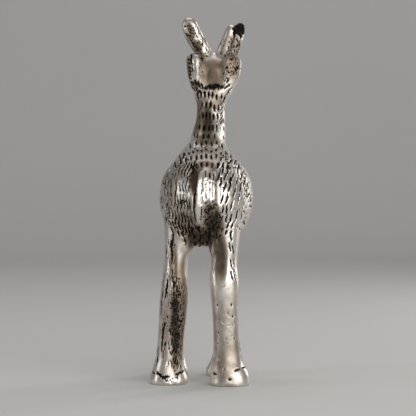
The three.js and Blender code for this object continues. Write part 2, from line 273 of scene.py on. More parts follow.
class Relief:
    """The casting's surface, with the tools that smooth, press, cut and stain it.

    Attributes:
        NEARBY: How far a mark's place may lie from the surface, in metres.
        SPACING: Step along a mark's middle line, in metres.
        ROUNDNESS: How pointed the bottom of a mark is: 1 for a bowl, less for a flatter floor.
        SPREAD: How far a mark's stain fills it: the less, the fuller.
        BURR: The burr's height as a share of the mark's depth.
        BURR_PLACE: The burr's place, in half widths of the mark.
        BURR_BREADTH: Its breadth, in half widths of the mark.
        WAVES: The casting's waves in a metre.
        GRAINS: Its grains in a metre.
    """

    NEARBY = 0.0036
    SPACING = 3.5e-4
    ROUNDNESS = 0.8
    SPREAD = 0.38
    BURR = 0.15
    BURR_PLACE = 1.3
    BURR_BREADTH = 0.3
    WAVES = 190
    GRAINS = 650

    def __init__(self, mesh: bpy.types.Mesh) -> None:
        """Take a mesh over."""
        self.mesh = mesh
        self.read()

    def read(self) -> None:
        """Read the mesh's vertices and edges, with nothing stained or cut."""
        flat = np.empty(len(self.mesh.vertices) * 3, dtype=np.float32)
        self.mesh.vertices.foreach_get("co", flat)
        self.co = flat.reshape(-1, 3).astype(float)
        edges = np.empty(len(self.mesh.edges) * 2, dtype=np.int32)
        self.mesh.edges.foreach_get("vertices", edges)
        self.edges = edges.reshape(-1, 2)
        self.stain = np.zeros(len(self.co))
        self.tarnish_and_painted_light = np.zeros(len(self.co))
        self.refresh()

    def refresh(self) -> None:
        """Put the places back into the mesh, and read the normals and the search trees again."""
        self.mesh.vertices.foreach_set("co", self.co.astype(np.float32).ravel())
        self.mesh.update()
        flat = np.empty(len(self.co) * 3, dtype=np.float32)
        self.mesh.vertex_normals.foreach_get("vector", flat)
        self.normal = flat.reshape(-1, 3).astype(float)
        bm = bmesh.new()
        bm.from_mesh(self.mesh)
        self.surface = BVHTree.FromBMesh(bm)
        bm.free()
        self.tree = KDTree(len(self.co))
        for index, co in enumerate(self.co):
            self.tree.insert(co, index)
        self.tree.balance()

    def places(self) -> Array:
        """Give the vertices in hundredths: x, y and z."""
        return (self.co / HUNDREDTH).T

    def relax(self, rounds: int, weight: Array, back: float = 0.0) -> None:
        """Even the surface out.

        Args:
            rounds: How often each vertex moves towards its neighbours' middle.
            weight: How far each vertex moves, from 0 to 1.
            back: How far it moves out again after each round, which keeps the girth.
        """
        first, second = self.edges[:, 0], self.edges[:, 1]
        size = len(self.co)
        neighbours = np.bincount(first, minlength=size) + np.bincount(second, minlength=size)
        for _ in range(rounds):
            for share in (0.5, -back):
                middle = np.empty_like(self.co)
                for axis in range(3):
                    values = self.co[:, axis]
                    total = np.bincount(first, values[second], size)
                    total += np.bincount(second, values[first], size)
                    middle[:, axis] = total / neighbours
                self.co += (middle - self.co) * share * weight[:, None]

    def near(self, centre: Vector, radius: float) -> Array:
        """Give the vertices within a radius of a place."""
        return np.array([index for _, index, _ in self.tree.find_range(centre, radius)], dtype=int)

    def along(self, mark: Mark) -> Optional[Array]:
        """Lay a mark's middle line on the surface.

        Args:
            mark: The mark.

        Returns:
            The line's places, one a row, or nothing when the surface isn't near it.
        """
        feet = [self.surface.find_nearest(place) for place in mark.path]
        if any(foot[0] is None or foot[3] > self.NEARBY for foot in feet):
            return None
        points = np.array([foot[0][:] for foot in feet])
        length = float(np.linalg.norm(np.diff(points, axis=0), axis=1).sum())
        return through(points, np.linspace(0, 1, max(5, int(length / self.SPACING))))

    def refine(self, marks: Iterable[Mark]) -> None:
        """Halve the grid where marks will be cut.

        Args:
            marks: The marks.
        """
        bm = bmesh.new()
        bm.from_mesh(self.mesh)
        bm.faces.ensure_lookup_table()
        centres = KDTree(len(bm.faces))
        for face in bm.faces:
            centres.insert(face.calc_center_median(), face.index)
        centres.balance()
        chosen: set[int] = set()
        for mark in marks:
            line = self.along(mark)
            for place in line[::2] if line is not None else ():
                chosen.update(found[1] for found in centres.find_range(Vector(place), mark.width / 2))
        edges = {edge for index in chosen for edge in bm.faces[index].edges}
        bmesh.ops.subdivide_edges(bm, edges=list(edges), cuts=1, use_grid_fill=True)
        bmesh.ops.triangulate(bm, faces=[face for face in bm.faces if len(face.verts) > 4])
        bm.to_mesh(self.mesh)
        bm.free()
        self.read()

    def carve(self, marks: Iterable[Mark]) -> int:
        """Cut marks into the surface, each with a thin burr beside it.

        Args:
            marks: The marks.

        Returns:
            How many of them lay on the surface and were cut.
        """
        cut, burr = np.zeros(len(self.co)), np.zeros(len(self.co))
        total = 0
        for mark in marks:
            line = self.along(mark)
            if line is None:
                continue
            total += 1
            centre = line.mean(axis=0)
            reach = float(np.linalg.norm(line - centre, axis=1).max()) + mark.width
            index = self.near(Vector(centre), reach)
            if not len(index):
                continue
            gap = np.linalg.norm(self.co[index][:, None, :] - line[None], axis=2)
            nearest = gap.argmin(axis=1)
            share = nearest / (len(line) - 1)
            half = mark.width / 2 * (1 - mark.taper + mark.taper * np.sin(np.pi * share) ** 0.6)
            ratio = gap[np.arange(len(index)), nearest] / half
            profile = np.clip(1 - ratio**2, 0, 1)
            step = mark.depth * profile**self.ROUNDNESS
            cut[index] = np.where(np.abs(step) > np.abs(cut[index]), step, cut[index])
            self.stain[index] = np.maximum(self.stain[index], mark.stain * profile**self.SPREAD)
            rim = band(ratio, self.BURR_PLACE, self.BURR_BREADTH) * (ratio > 1)
            burr[index] = np.maximum(burr[index], self.BURR * abs(mark.depth) * rim)
        self.co -= self.normal * (cut - np.where(cut == 0, burr, 0))[:, None]
        self.refresh()
        return total

    def press(self, centre: Vector, hollow: Hollow) -> None:
        """Press a hollow into the surface, or raise a swelling.

        Args:
            centre: Its middle, on the surface.
            hollow: Its directions, sizes and stain.
        """
        inward, along = Vector(hollow.inward).normalized(), Vector(hollow.along)
        along = (along - inward * along.dot(inward)).normalized()
        side = inward.cross(along)
        width, depth, length = (value * HUNDREDTH for value in hollow.radii)
        index = self.near(centre, max(width, length, abs(depth)) * 1.3)
        away = self.co[index] - np.array(centre)
        ratio = (away @ np.array(side) / width) ** 2 + (away @ np.array(along) / length) ** 2
        slack = 0.002 if hollow.edge < 1 else 0.009
        room = 2.2 * abs(depth) + slack
        ratio += np.clip(np.abs(away @ np.array(inward)) / room - 0.6, 0, 1)
        profile = np.clip(1 - ratio, 0, 1) ** hollow.edge
        self.co[index] += np.array(inward) * (depth * profile)[:, None]
        self.stain[index] = np.maximum(self.stain[index], hollow.stain * profile**0.5)

    def darken(self, patch: Patch) -> None:
        """Darken a soft patch of the surface (tarnishing, painted shade) or lighten it (mostly painted
        highlights).

        Args:
            patch: Its place, size and depth of colour.
        """
        ratio = (((self.co / HUNDREDTH - np.array(patch.centre)) / np.array(patch.radii)) ** 2).sum(axis=1)
        share = np.clip(1.5 * np.clip(1 - ratio / 1.45, 0, 1) ** 2, 0, 1)
        # Below 0 a patch lightens the colour: mostly a painted highlight.
        lightened = self.tarnish_and_painted_light + min(patch.tarnish_and_painted_light, 0) * share
        self.tarnish_and_painted_light = np.maximum(lightened, patch.tarnish_and_painted_light * share)
        self.stain = np.maximum(self.stain, patch.stain * share)

    def roughen(self, wave: float, grit: float) -> None:
        """Give the surface the waviness of a sand casting and its grit, more of it where it is stained.

        Args:
            wave: Height of the waves, in metres.
            grit: Height of the grit, in metres.
        """
        waves = np.array([lattice_noise(Vector(co) * self.WAVES) for co in self.co])
        grains = np.array([lattice_noise(Vector(co) * self.GRAINS) for co in self.co])
        rough = 0.12 + np.clip(self.stain - 0.15, 0, 0.6) + 0.25 * self.tarnish_and_painted_light
        self.co += self.normal * (waves * wave + grains * grit * rough)[:, None]
        self.refresh()


class Chisel:
    """Lays marks on the surface and keeps them for the cutting."""

    def __init__(self, relief: Relief, width: float, depth: float, seed: int = 5) -> None:
        """Hold the surface and the size of a plain mark.

        Args:
            relief: The surface that the marks are laid on.
            width: Width of a plain mark, in metres.
            depth: Its depth, in metres.
            seed: Seed of the hand's unevenness.
        """
        self.relief = relief
        self.width = width
        self.depth = depth
        self.chance = random.Random(seed)
        self.marks: list[Mark] = []

    def behind(self, x: float, z: float) -> Optional[Vector]:
        """Give the first place that a line meets from behind, at x, z in hundredths."""
        return self.relief.surface.ray_cast(placed(x, -60, z), AHEAD)[0]

    def keep(self, path: Sequence[Optional[Vector]], width: float, depth: float, stain: float,
             taper: float = 0.6) -> None:
        """Keep a mark if all of its path lies on the surface."""
        if all(place is not None for place in path):
            self.marks.append(Mark(tuple(path), self.width * width, self.depth * depth, stain, taper))

    def seen(self, *points: Spot, width: float = 1.0, depth: float = 1.0, stain: float = 1.0,
             wave: float = 0.0, taper: float = 0.6) -> None:
        """Cut a mark that is laid out as it is seen from behind.

        Args:
            points: Its places x, z in hundredths, two at least.
            width: Its width in plain marks' widths.
            depth: Its depth in plain marks' depths.
            stain: How dark it is.
            wave: How far it swings to both sides, in hundredths, in step with the marks beside it.
            taper: How far its ends narrow.
        """
        line = through(np.array([(x, 0.0, z) for x, z in points]), np.linspace(0, 1, 7))
        swing = wave * np.sin(1.7 * line[:, 2] + 0.8 * line[:, 0])
        path = [self.behind(x + s, z) for (x, _, z), s in zip(line, swing)]
        self.keep(path, width, depth, stain, taper)

    def grain(self, *points: Spot, dash: float = 2.6, gap: float = 0.35, width: float = 1.0,
              depth: float = 1.0, stain: float = 1.0, wave: float = 0.14) -> None:
        """Cut a line of grain as it is seen from behind, broken into dashes of uneven length.

        Args:
            points: The line's places x, z in hundredths.
            dash: Length of a dash, in hundredths.
            gap: Length of a gap between two dashes.
            width: Width in plain marks' widths.
            depth: Depth in plain marks' depths.
            stain: How dark the dashes are.
            wave: How far they swing to both sides.
        """
        line = np.array([(x, 0.0, z) for x, z in points])
        length = float(np.linalg.norm(np.diff(line, axis=0), axis=1).sum())
        start = self.chance.uniform(0, gap)
        while start < length - 0.4:
            end = min(start + dash * self.chance.uniform(0.6, 1.4), length)
            places = through(line, np.linspace(start / length, end / length, 4))
            size = self.chance.uniform(0.8, 1.15)
            spots = [(x, z) for x, _, z in places]
            self.seen(*spots, width=width * size, depth=depth, stain=stain, wave=wave)
            start = end + gap * self.chance.uniform(0.6, 1.6)

    def pits(self, count: int, centre: Spot, radii: Spot, length: float = 0.45, lean: float = 0.15,
             width: float = 0.65, depth: float = 0.7, stain: float = 1.0) -> None:
        """Scatter short pits over an oval patch, as it is seen from behind.

        Args:
            count: How many pits.
            centre: The patch's middle x, z in hundredths.
            radii: Its half sizes.
            length: Length of a pit.
            lean: How far a pit leans to either side.
            width: Width in plain marks' widths.
            depth: Depth in plain marks' depths.
            stain: How dark the pits are.
        """
        for _ in range(count):
            angle, reach = FULL_TURN * self.chance.random(), math.sqrt(self.chance.random())
            x = centre[0] + radii[0] * reach * math.cos(angle)
            z = centre[1] + radii[1] * reach * math.sin(angle)
            size, swing = self.chance.uniform(0.7, 1.3), self.chance.uniform(-lean, lean)
            self.seen((x, z), (x + swing, z - length * size), width=width * size, depth=depth, stain=stain)

    def round(self, limb: Limb, start: Spot, end: Spot, width: float = 1.0,
              depth: float = 1.0, stain: float = 1.0, wave: float = 0.0) -> None:
        """Cut a mark that is laid out on a limb.

        Args:
            limb: The limb.
            start: Angle and share of the length where it starts.
            end: Angle and share of the length where it ends.
            width: Its width in plain marks' widths.
            depth: Its depth in plain marks' depths.
            stain: How dark it is.
            wave: How far it swings to both sides, in radians.
        """
        share = np.linspace(0, 1, 6)
        angle = start[0] + (end[0] - start[0]) * share + wave * np.sin(FULL_TURN * share)
        path = [Vector(place) for place in limb.points(angle, start[1] + (end[1] - start[1]) * share)]
        self.keep(path, width, depth, stain)

    def dots(self, limb: Limb, count: int, angles: Spot, shares: Spot) -> None:
        """Scatter short pits over a stretch of a limb, lengthwise.

        Args:
            limb: The limb.
            count: How many pits.
            angles: First and last angle round the limb.
            shares: First and last share of its length.
        """
        for _ in range(count):
            angle, t = self.chance.uniform(*angles), self.chance.uniform(*shares)
            size = self.chance.uniform(0.7, 1.3)
            lean = self.chance.uniform(-0.04, 0.04)
            self.round(limb, (angle, t), (angle + lean, t + 0.014 * size), width=0.6 * size, depth=0.8)


class BodyPart:
    """One region of the deer. Each part adds its limbs, then shapes, cuts and stains its own region.

    Attributes:
        hollows: Its hollows and swellings.
        patches: Where it is browned or blackened (tarnishing, patina, painted shade) or lightened (mostly
            painted highlights).
    """

    hollows: tuple[Hollow, ...] = ()
    patches: tuple[Patch, ...] = ()

    def limbs(self) -> tuple[Limb, ...]:
        """Give the lofts that the region is made of."""
        return ()

    def shape(self, relief: Relief, chisel: Chisel) -> None:
        """Press the region's hollows and raise its swellings.

        Args:
            relief: The surface.
            chisel: The chisel, which finds the places that are seen from behind.
        """
        for hollow in self.hollows:
            relief.press(chisel.behind(*hollow.seen), hollow)

    def cut(self, chisel: Chisel) -> None:
        """Lay the region's marks."""

    def weather(self, relief: Relief) -> None:
        """Lay the region's tarnishing, patina, painted shade and painted highlights."""
        for patch in self.patches:
            relief.darken(patch)


@dataclass
class Torso(BodyPart):
    """The barrel of the body, with the fur of the rump, the haunches and the flanks.

    Attributes:
        body: The loft of the barrel.
        rings: Rings of strokes on the flanks.
        around: Strokes in a ring.
        rump_rows: Rows above the tail: height, length, step, and strokes to each side of the middle.
        haunch_rows: Rows on the right haunch: height, length, and the strokes' places along X.
        hollows: The rump beside and under the tail, and the fold of the left buttock.
        patches: The brown left haunch, painted shade in the recesses round the tail's root, the black seat,
            and painted highlights on the right haunch and the tail.
    """

    body: Limb = Limb(
        (
            (-0.1, -19.5, 51.2, 12.1, 12.6),
            (-0.2, -10, 50.4, 12.7, 13.6),
            (-0.2, 0, 49.8, 12.7, 13.5),
            (-0.1, 10, 50.6, 12.4, 13.0),
            (0.1, 19.5, 52.6, 11.0, 11.6),
        ),
        square=2.1, head=0.45, foot=0.42, rows=90, segments=96,
    )
    rings: int = 12
    around: int = 24
    rump_rows: tuple[tuple[float, float, float, int], ...] = (
        (65.6, 1.2, 1.5, 3), (63.4, 0.9, 1.3, 7), (62.0, 1.2, 1.36, 6), (59.8, 1.6, 1.5, 3),
    )
    haunch_rows: tuple[Row, ...] = (
        (59.0, 1.3, (3.1, 4.3, 5.6)),
        (57.6, 1.9, (4.2, 5.5, 8.3)),
        (56.1, 2.1, (3.2, 5.0, 6.9, 9.3)),
        (54.8, 2.0, (3.6, 6.2, 8.1, 10.1)),
        (53.3, 2.2, (4.8, 6.1, 9.0)),
        (51.9, 2.4, (7.4, 10.6)),
        (50.0, 2.2, (4.0, 5.3, 8.5)),
        (48.3, 2.8, (6.6, 9.7)),
        (47.2, 2.0, (4.2, 5.3)),
        (45.4, 3.2, (7.9, 9.2)),
        (44.9, 2.0, (5.2, 6.4)),
        (43.0, 1.5, (5.5, 6.8)),
        (41.0, 1.4, (5.1, 6.5)),
    )
    hollows: tuple[Hollow, ...] = (
        # Its stain is painted shade in the recess left of the tail.
        Hollow((-3.6, 55.2), (0.12, 0, -1), (1.15, 0.75, 4.4), 0.2),
        Hollow((3.0, 52.6), DOWN, (0.9, 0.45, 4.6)),
        Hollow((1.7, 43.6), DOWN, (3.2, 0.85, 5.6), 0.15, edge=1.3),
        Hollow((-3.9, 48.0), (0.1, 0, -1), (0.75, -0.4, 5.2)),
    )
    patches: tuple[Patch, ...] = (
        Patch((-7.0, -15, 51.0), (6.5, 12, 14), 0.5),
        Patch((-5.5, -15, 43.5), (5.5, 12, 6), 0.75),
        # Painted shade: the recess left of the tail's root, and the rump just above the tail.
        Patch((-3.4, -18, 55.4), (1.6, 4, 5.2), 2.0, 0.16),
        Patch((-0.4, -16, 58.2), (4.4, 8, 3.0), 1.0),
        Patch((0.0, -14, 61.5), (7.5, 9, 5.0), 0.55),
        # Painted shade in the recess right of the tail.
        Patch((2.9, -18, 52.4), (1.1, 4, 6.0), 0.8),
        Patch((1.8, -17, 43.2), (3.2, 6, 5.6), 1.6, 0.3),
        Patch((0.5, -17, 47.4), (2.0, 6, 3.2), 1.3, 0.3),
        Patch((2.6, -17, 47.6), (1.1, 6, 3.0), 1.3, 0.26),
        # Painted highlight on the right haunch.
        Patch((5.8, -16, 52.0), (4.6, 9, 10.0), -0.9),
        Patch((-6.2, -16, 52.4), (2.4, 8, 3.6), -0.8),
        # Painted highlights on the tail's tongue and its left strip.
        Patch((-0.2, -18, 53.0), (2.4, 4, 6.5), -0.9),
        Patch((-2.3, -18, 46.5), (0.9, 4, 4.5), -0.9),
        Patch((-1.5, -12, 40.5), (7.5, 8, 4.6), 1.5, 0.16),
    )

    def limbs(self) -> tuple[Limb, ...]:
        """Give the barrel."""
        return (self.body,)

    def rump(self, chisel: Chisel) -> None:
        """Cut the rows above the tail, which follow the round of the rump.

        Args:
            chisel: Lays the marks.
        """
        for row, (z, length, step, reach) in enumerate(self.rump_rows):
            for i in range(-reach, reach + 1):
                x = step * (i + 0.3 * (row % 2)) - 0.3 + 0.22 * uneven(i, row)
                top = z - 0.032 * x * x + 0.28 * uneven(row, i)
                size = 1 + 0.15 * uneven(i + 2, row)
                chisel.seen((x, top), (x - 0.06 * x, top - length * size), width=0.9, depth=1.2, wave=0.05)
        chisel.pits(34, (6.2, 59.6), (3.4, 2.8), length=0.6, lean=0.3, width=0.65, depth=0.7)
        chisel.pits(16, (-7.6, 61.0), (2.6, 1.6), length=0.6, lean=0.3, width=0.65, depth=0.7)

    def left_haunch(self, chisel: Chisel) -> None:
        """Cut the left haunch: a fan over the tail, long grooves, and short wavy grain below.

        Args:
            chisel: Lays the marks.
        """
        for i in range(9):
            x = -4.5 - 0.84 * i
            fine, grooved = i < 4, i in (4, 5)
            waist = 50.1 + 1.5 * uneven(i, 4)
            chisel.grain((x + 1.5 + 0.1 * i, 60.4 - 0.22 * i), (x + 0.8, 58.4), (x, 56.0 + 0.1 * i), dash=3.4,
                         width=1.05, depth=1.8, wave=0.1)
            if not grooved:
                width, depth, stain = (0.5, 0.6, 0.75) if fine else (0.85, 1.4, 1.0)
                chisel.grain((x, 55.7), (x - 0.15, 53.0), (x, waist + 0.2), dash=4.5,
                             width=width, depth=depth, stain=stain)
            chisel.grain((x, waist - 0.2), (x + 0.2, 45.4), (x + 0.7, 40.2 + 0.35 * i), dash=4.0,
                         width=0.8, depth=1.5, wave=0.2)
            chisel.grain((x + 0.42, waist - 0.8), (x + 0.6, 45.4), (x + 1.0, 40.6), dash=1.2, gap=2.4,
                         width=0.4, depth=0.5, wave=0.24)
            low = 54.4 if grooved else waist + 0.5
            chisel.grain((x + 0.4, 58.0), (x - 0.3, low), dash=1.6, gap=1.8, width=0.45, depth=0.5, stain=0.8)
        chisel.pits(30, (-11.1, 52.5), (0.9, 9.5), length=0.9, lean=0.4, width=0.6, depth=0.9)
        chisel.grain((-8.1, 55.6), (-8.3, 53.0), (-8.4, 49.6), dash=9, width=0.95, depth=1.5, wave=0.1)
        chisel.pits(44, (-11.0, 51.0), (1.3, 8.0), length=0.55, lean=0.25, width=0.55, depth=0.8)

    def right_haunch(self, chisel: Chisel) -> None:
        """Cut the right haunch: strokes with a double bend, in staggered rows.

        Args:
            chisel: Lays the marks.
        """
        for row, (z, length, columns) in enumerate(self.haunch_rows):
            for column, x in enumerate(columns):
                lean = 0.32 + 0.14 * uneven(column, row)
                half = length / 1.7 * (1 + 0.12 * uneven(row, column))
                bend, near = 0.25 * lean, 0.3 * half
                chisel.seen((x + lean, z + half), (x + bend, z + near), (x - bend, z - near),
                            (x - lean, z - half), width=0.95, depth=1.3, wave=0.08)
        chisel.pits(46, (10.2, 51.5), (1.8, 8.2), length=0.6, lean=0.35, width=0.6, depth=0.8)
        chisel.pits(10, (6.6, 52.0), (3.0, 7.0), length=0.45, lean=0.3, width=0.45, depth=0.5, stain=0.8)

    def seat(self, chisel: Chisel) -> None:
        """Pit the rough patch under the tail, and cut the strokes between the thighs.

        Args:
            chisel: Lays the marks.
        """
        chisel.pits(110, (1.6, 43.8), (2.7, 4.8), length=0.5, lean=0.3, width=0.5, depth=0.9)
        chisel.pits(56, (-2.4, 41.0), (5.6, 2.9), length=1.2, lean=0.35, width=0.6, depth=1.1)

    def flanks(self, chisel: Chisel) -> None:
        """Cut rings of strokes that run back along the flanks, the back and the belly.

        Args:
            chisel: Lays the marks.
        """
        for ring in range(self.rings):
            t = 0.29 + 0.66 * ring / (self.rings - 1)
            for k in range(self.around):
                angle = FULL_TURN * (k + 0.5 * (ring % 2) + 0.25 * uneven(ring, k)) / self.around
                long = 0.021 + 0.006 * uneven(k, ring)
                sweep = 0.03 * math.cos(angle) + 0.012 * uneven(ring + 3, k)
                chisel.round(self.body, (angle - sweep, t + long), (angle + sweep, t - long),
                             width=0.95, wave=0.015)
        chisel.dots(self.body, 130, (-1.0, 1.0), (0.16, 0.42))
        chisel.dots(self.body, 130, (math.pi - 1.0, math.pi + 1.0), (0.16, 0.42))

    def cut(self, chisel: Chisel) -> None:
        """Lay all of the barrel's marks.

        Args:
            chisel: Lays the marks.
        """
        self.rump(chisel)
        self.left_haunch(chisel)
        self.right_haunch(chisel)
        self.seat(chisel)
        self.flanks(chisel)


@dataclass
class Tail(BodyPart):
    """The tail: a broad tongue on the rump, and a narrow strip that goes on along its left edge.

    Attributes:
        rump: The loft that the tail lies on.
        proud: How far the tail stands out from the rump, in hundredths.
        tongue: Rows of x, z, half width and rise of the broad tongue.
        strip: The same of the narrow strip.
    """

    rump: Limb
    proud: float = 1.13
    tongue: tuple[tuple[float, float, float, float], ...] = (
        (0.3, 59.0, 1.4, -0.2), (0.1, 56.0, 2.2, 0.35), (-0.2, 52.0, 2.5, 0.5), (-0.3, 48.4, 2.5, 0.3),
    )
    strip: tuple[tuple[float, float, float, float], ...] = (
        (-1.7, 51.0, 1.0, 0.45), (-1.9, 47.6, 0.9, 0.4), (-2.0, 43.4, 0.5, 0.1),
    )

    def station(self, x: float, z: float, half: float, rise: float) -> Station:
        """Lay a station of the tail on the rump.

        Args:
            x: Its place along X.
            z: Its height.
            half: Its half width.
            rise: How far it is raised, as a share of the tail's depth.

        Returns:
            The station.
        """
        # the rump's rear third, finely enough to find the place under x, z
        angles, shares = np.meshgrid(np.linspace(0, FULL_TURN, 240), np.linspace(0, 0.35, 160))
        ground = self.rump.points(angles.ravel(), shares.ravel()) / HUNDREDTH
        y = float(ground[np.argmin((ground[:, 0] - x) ** 2 + (ground[:, 2] - z) ** 2), 1])
        return (x, y + self.proud * (0.5 - rise), z, half, self.proud)

    def limbs(self) -> tuple[Limb, ...]:
        """Give the tongue and the strip."""
        tongue, strip = (tuple(self.station(*row) for row in rows) for rows in (self.tongue, self.strip))
        return (
            Limb(tongue, square=2.8, head=0.12, foot=0.12, rows=40, segments=32),
            Limb(strip, square=2.8, foot=0.2, rows=40, segments=32),
        )

    def cut(self, chisel: Chisel) -> None:
        """Cut the strokes at the tongue's root, flute it, and cut the dark line round it.

        Args:
            chisel: Lays the marks.
        """
        for i, x in enumerate((-0.5, 0.75, 1.8)):
            chisel.seen((x, 57.5 - 0.2 * i), (x + 0.1, 55.8 - 0.4 * i), width=0.75, depth=1.0)
        for i, x in enumerate((-1.3, -0.2, 0.8, 1.7)):
            chisel.grain((x, 55.6), (x - 0.15, 52.4), (x - 0.1, 48.6), dash=4.5, gap=0.2,
                         width=0.62, depth=1.0, stain=0.42, wave=0.05)
        chisel.seen((-1.5, 57.2), (-2.15, 54.0), (-2.35, 50.0), (-2.45, 46.4), (-2.05, 43.2),
                    width=1.45, depth=-1.5, stain=0)
        chisel.seen((-2.9, 55.8), (-3.3, 51.5), (-3.35, 47.2), (-2.9, 43.6), width=0.85, depth=1.2, taper=0.9)
        chisel.seen((-1.35, 48.6), (-1.4, 46.6), (-1.6, 44.0), width=0.7, depth=0.9, taper=0.9)
        chisel.seen((2.55, 56.6), (2.55, 52.4), (2.5, 48.9), width=0.7, depth=0.8, stain=0.75, taper=0.9)
        chisel.pits(44, (0.9, 48.0), (1.9, 2.0), length=0.4, lean=0.3, width=0.4, depth=0.7, stain=0.85)


@dataclass
class Neck(BodyPart):
    """The neck, with short upright strokes one above another in columns.

    Attributes:
        column: The loft of the neck.
        columns: Strokes in a row round the neck.
        rows: Rows of strokes.
        nape_rows: The rows that are seen from behind: height, length, and the strokes' places along X.
        hollows: The nape, low between its two cords.
        patches: Painted shade down the hollow of the nape and at its foot, and brown on the neck's sides and
            throat.
    """

    column: Limb = Limb(
        (
            (0.0, 4.5, 53.0, 10.4, 9.4),
            (-0.2, 5.8, 60.0, 8.6, 9.2),
            (0.1, 7.5, 63.4, 5.3, 7.6),
            (0.6, 9.2, 67.4, 4.7, 6.0),
            (1.0, 10.0, 70.5, 4.1, 5.0),
            (1.2, 10.6, 74.6, 3.9, 4.5),
            (1.2, 11.0, 78.0, 4.7, 4.6),
            (1.4, 11.8, 81.5, 5.6, 4.8),
            (1.6, 12.6, 85.5, 4.8, 4.0),
        ),
        rows=80,
    )
    columns: int = 22
    rows: int = 6
    nape_rows: tuple[Row, ...] = (
        (79.1, 1.4, (-2.7, -1.67, -0.6, 0.47, 1.5)),
        (78.2, 1.1, (2.7, 4.1)),
        (76.2, 1.5, (-1.4, -0.25, 0.95)),
        (75.4, 1.6, (2.05, 3.35)),
        (73.3, 1.5, (-1.25, -0.36, 0.7)),
        (73.0, 1.6, (1.84, 3.1)),
        (70.1, 1.4, (-2.2, -0.84, 0.56)),
        (70.0, 1.7, (1.67, 2.8)),
        (67.6, 1.3, (-3.5, -2.8, -1.0, 0.4, 2.2)),
        (64.6, 1.1, (3.35, 4.3)),
    )
    hollows: tuple[Hollow, ...] = (
        Hollow((-0.1, 68.4), DOWN, (2.0, 0.6, 6.5), edge=1.2),
    )
    patches: tuple[Patch, ...] = (
        # Painted shade: the shadowed groove down the nape, and the hollow at its foot.
        Patch((0.1, 3.5, 70.0), (2.2, 6, 10.0), 1.55),
        Patch((0.0, 2.0, 65.6), (3.6, 9, 2.6), 1.3),
        Patch((-2.4, 6, 73.0), (2.8, 6, 9.0), 0.9),
        Patch((2.4, 6, 77.0), (2.4, 5, 4.0), 0.7),
        Patch((1.5, 16, 72.0), (4.5, 5, 10.0), 0.5),
    )

    def limbs(self) -> tuple[Limb, ...]:
        """Give the neck."""
        return (self.column,)

    def cut(self, chisel: Chisel) -> None:
        """Lay the rows at the back, then those round the sides with finer marks between them.

        Args:
            chisel: Lays the marks.
        """
        for row, (z, length, columns) in enumerate(self.nape_rows):
            for column, x in enumerate(columns):
                lean = 0.1 * uneven(column, row + 1)
                bold = (1.0 if z > 69 else 0.8) * (1.2 if x < 0 else 1.0)
                chisel.seen((x, z), (x + lean, z - length), width=1.05 * bold, depth=1.9 * bold, taper=0.4)
        for i in range(3):
            chisel.grain((3.1 + 0.4 * i, 71.5), (3.4 + 0.5 * i, 66.6), dash=2.4,
                         width=0.35, depth=0.4, stain=0.45)
        for i in range(5):
            z = 76.6 - 1.3 * i + 0.15 * uneven(i, 3)
            chisel.seen((4.5 - 0.05 * i, z), (3.7, z - 1.3), width=0.55, depth=0.8)
        for row in range(self.rows):
            t = 0.3 + 0.096 * row
            for k in range(self.columns):
                angle = FULL_TURN * (k + 0.16 * uneven(row, k)) / self.columns
                if math.sin(angle) < -0.62:
                    continue
                size = 1 + 0.18 * uneven(k, row)
                top = t + 0.012 * uneven(k, row + 3)
                lean = 0.08 * uneven(row + 1, k)
                chisel.round(self.column, (angle, top), (angle + lean, top + 0.05 * size),
                             width=0.95, depth=1.1)
                if k % 2:
                    between = (angle + 0.14, top + 0.052)
                    chisel.round(self.column, between, (angle + 0.2, top + 0.085),
                                 width=0.55, depth=0.5, stain=0.7)


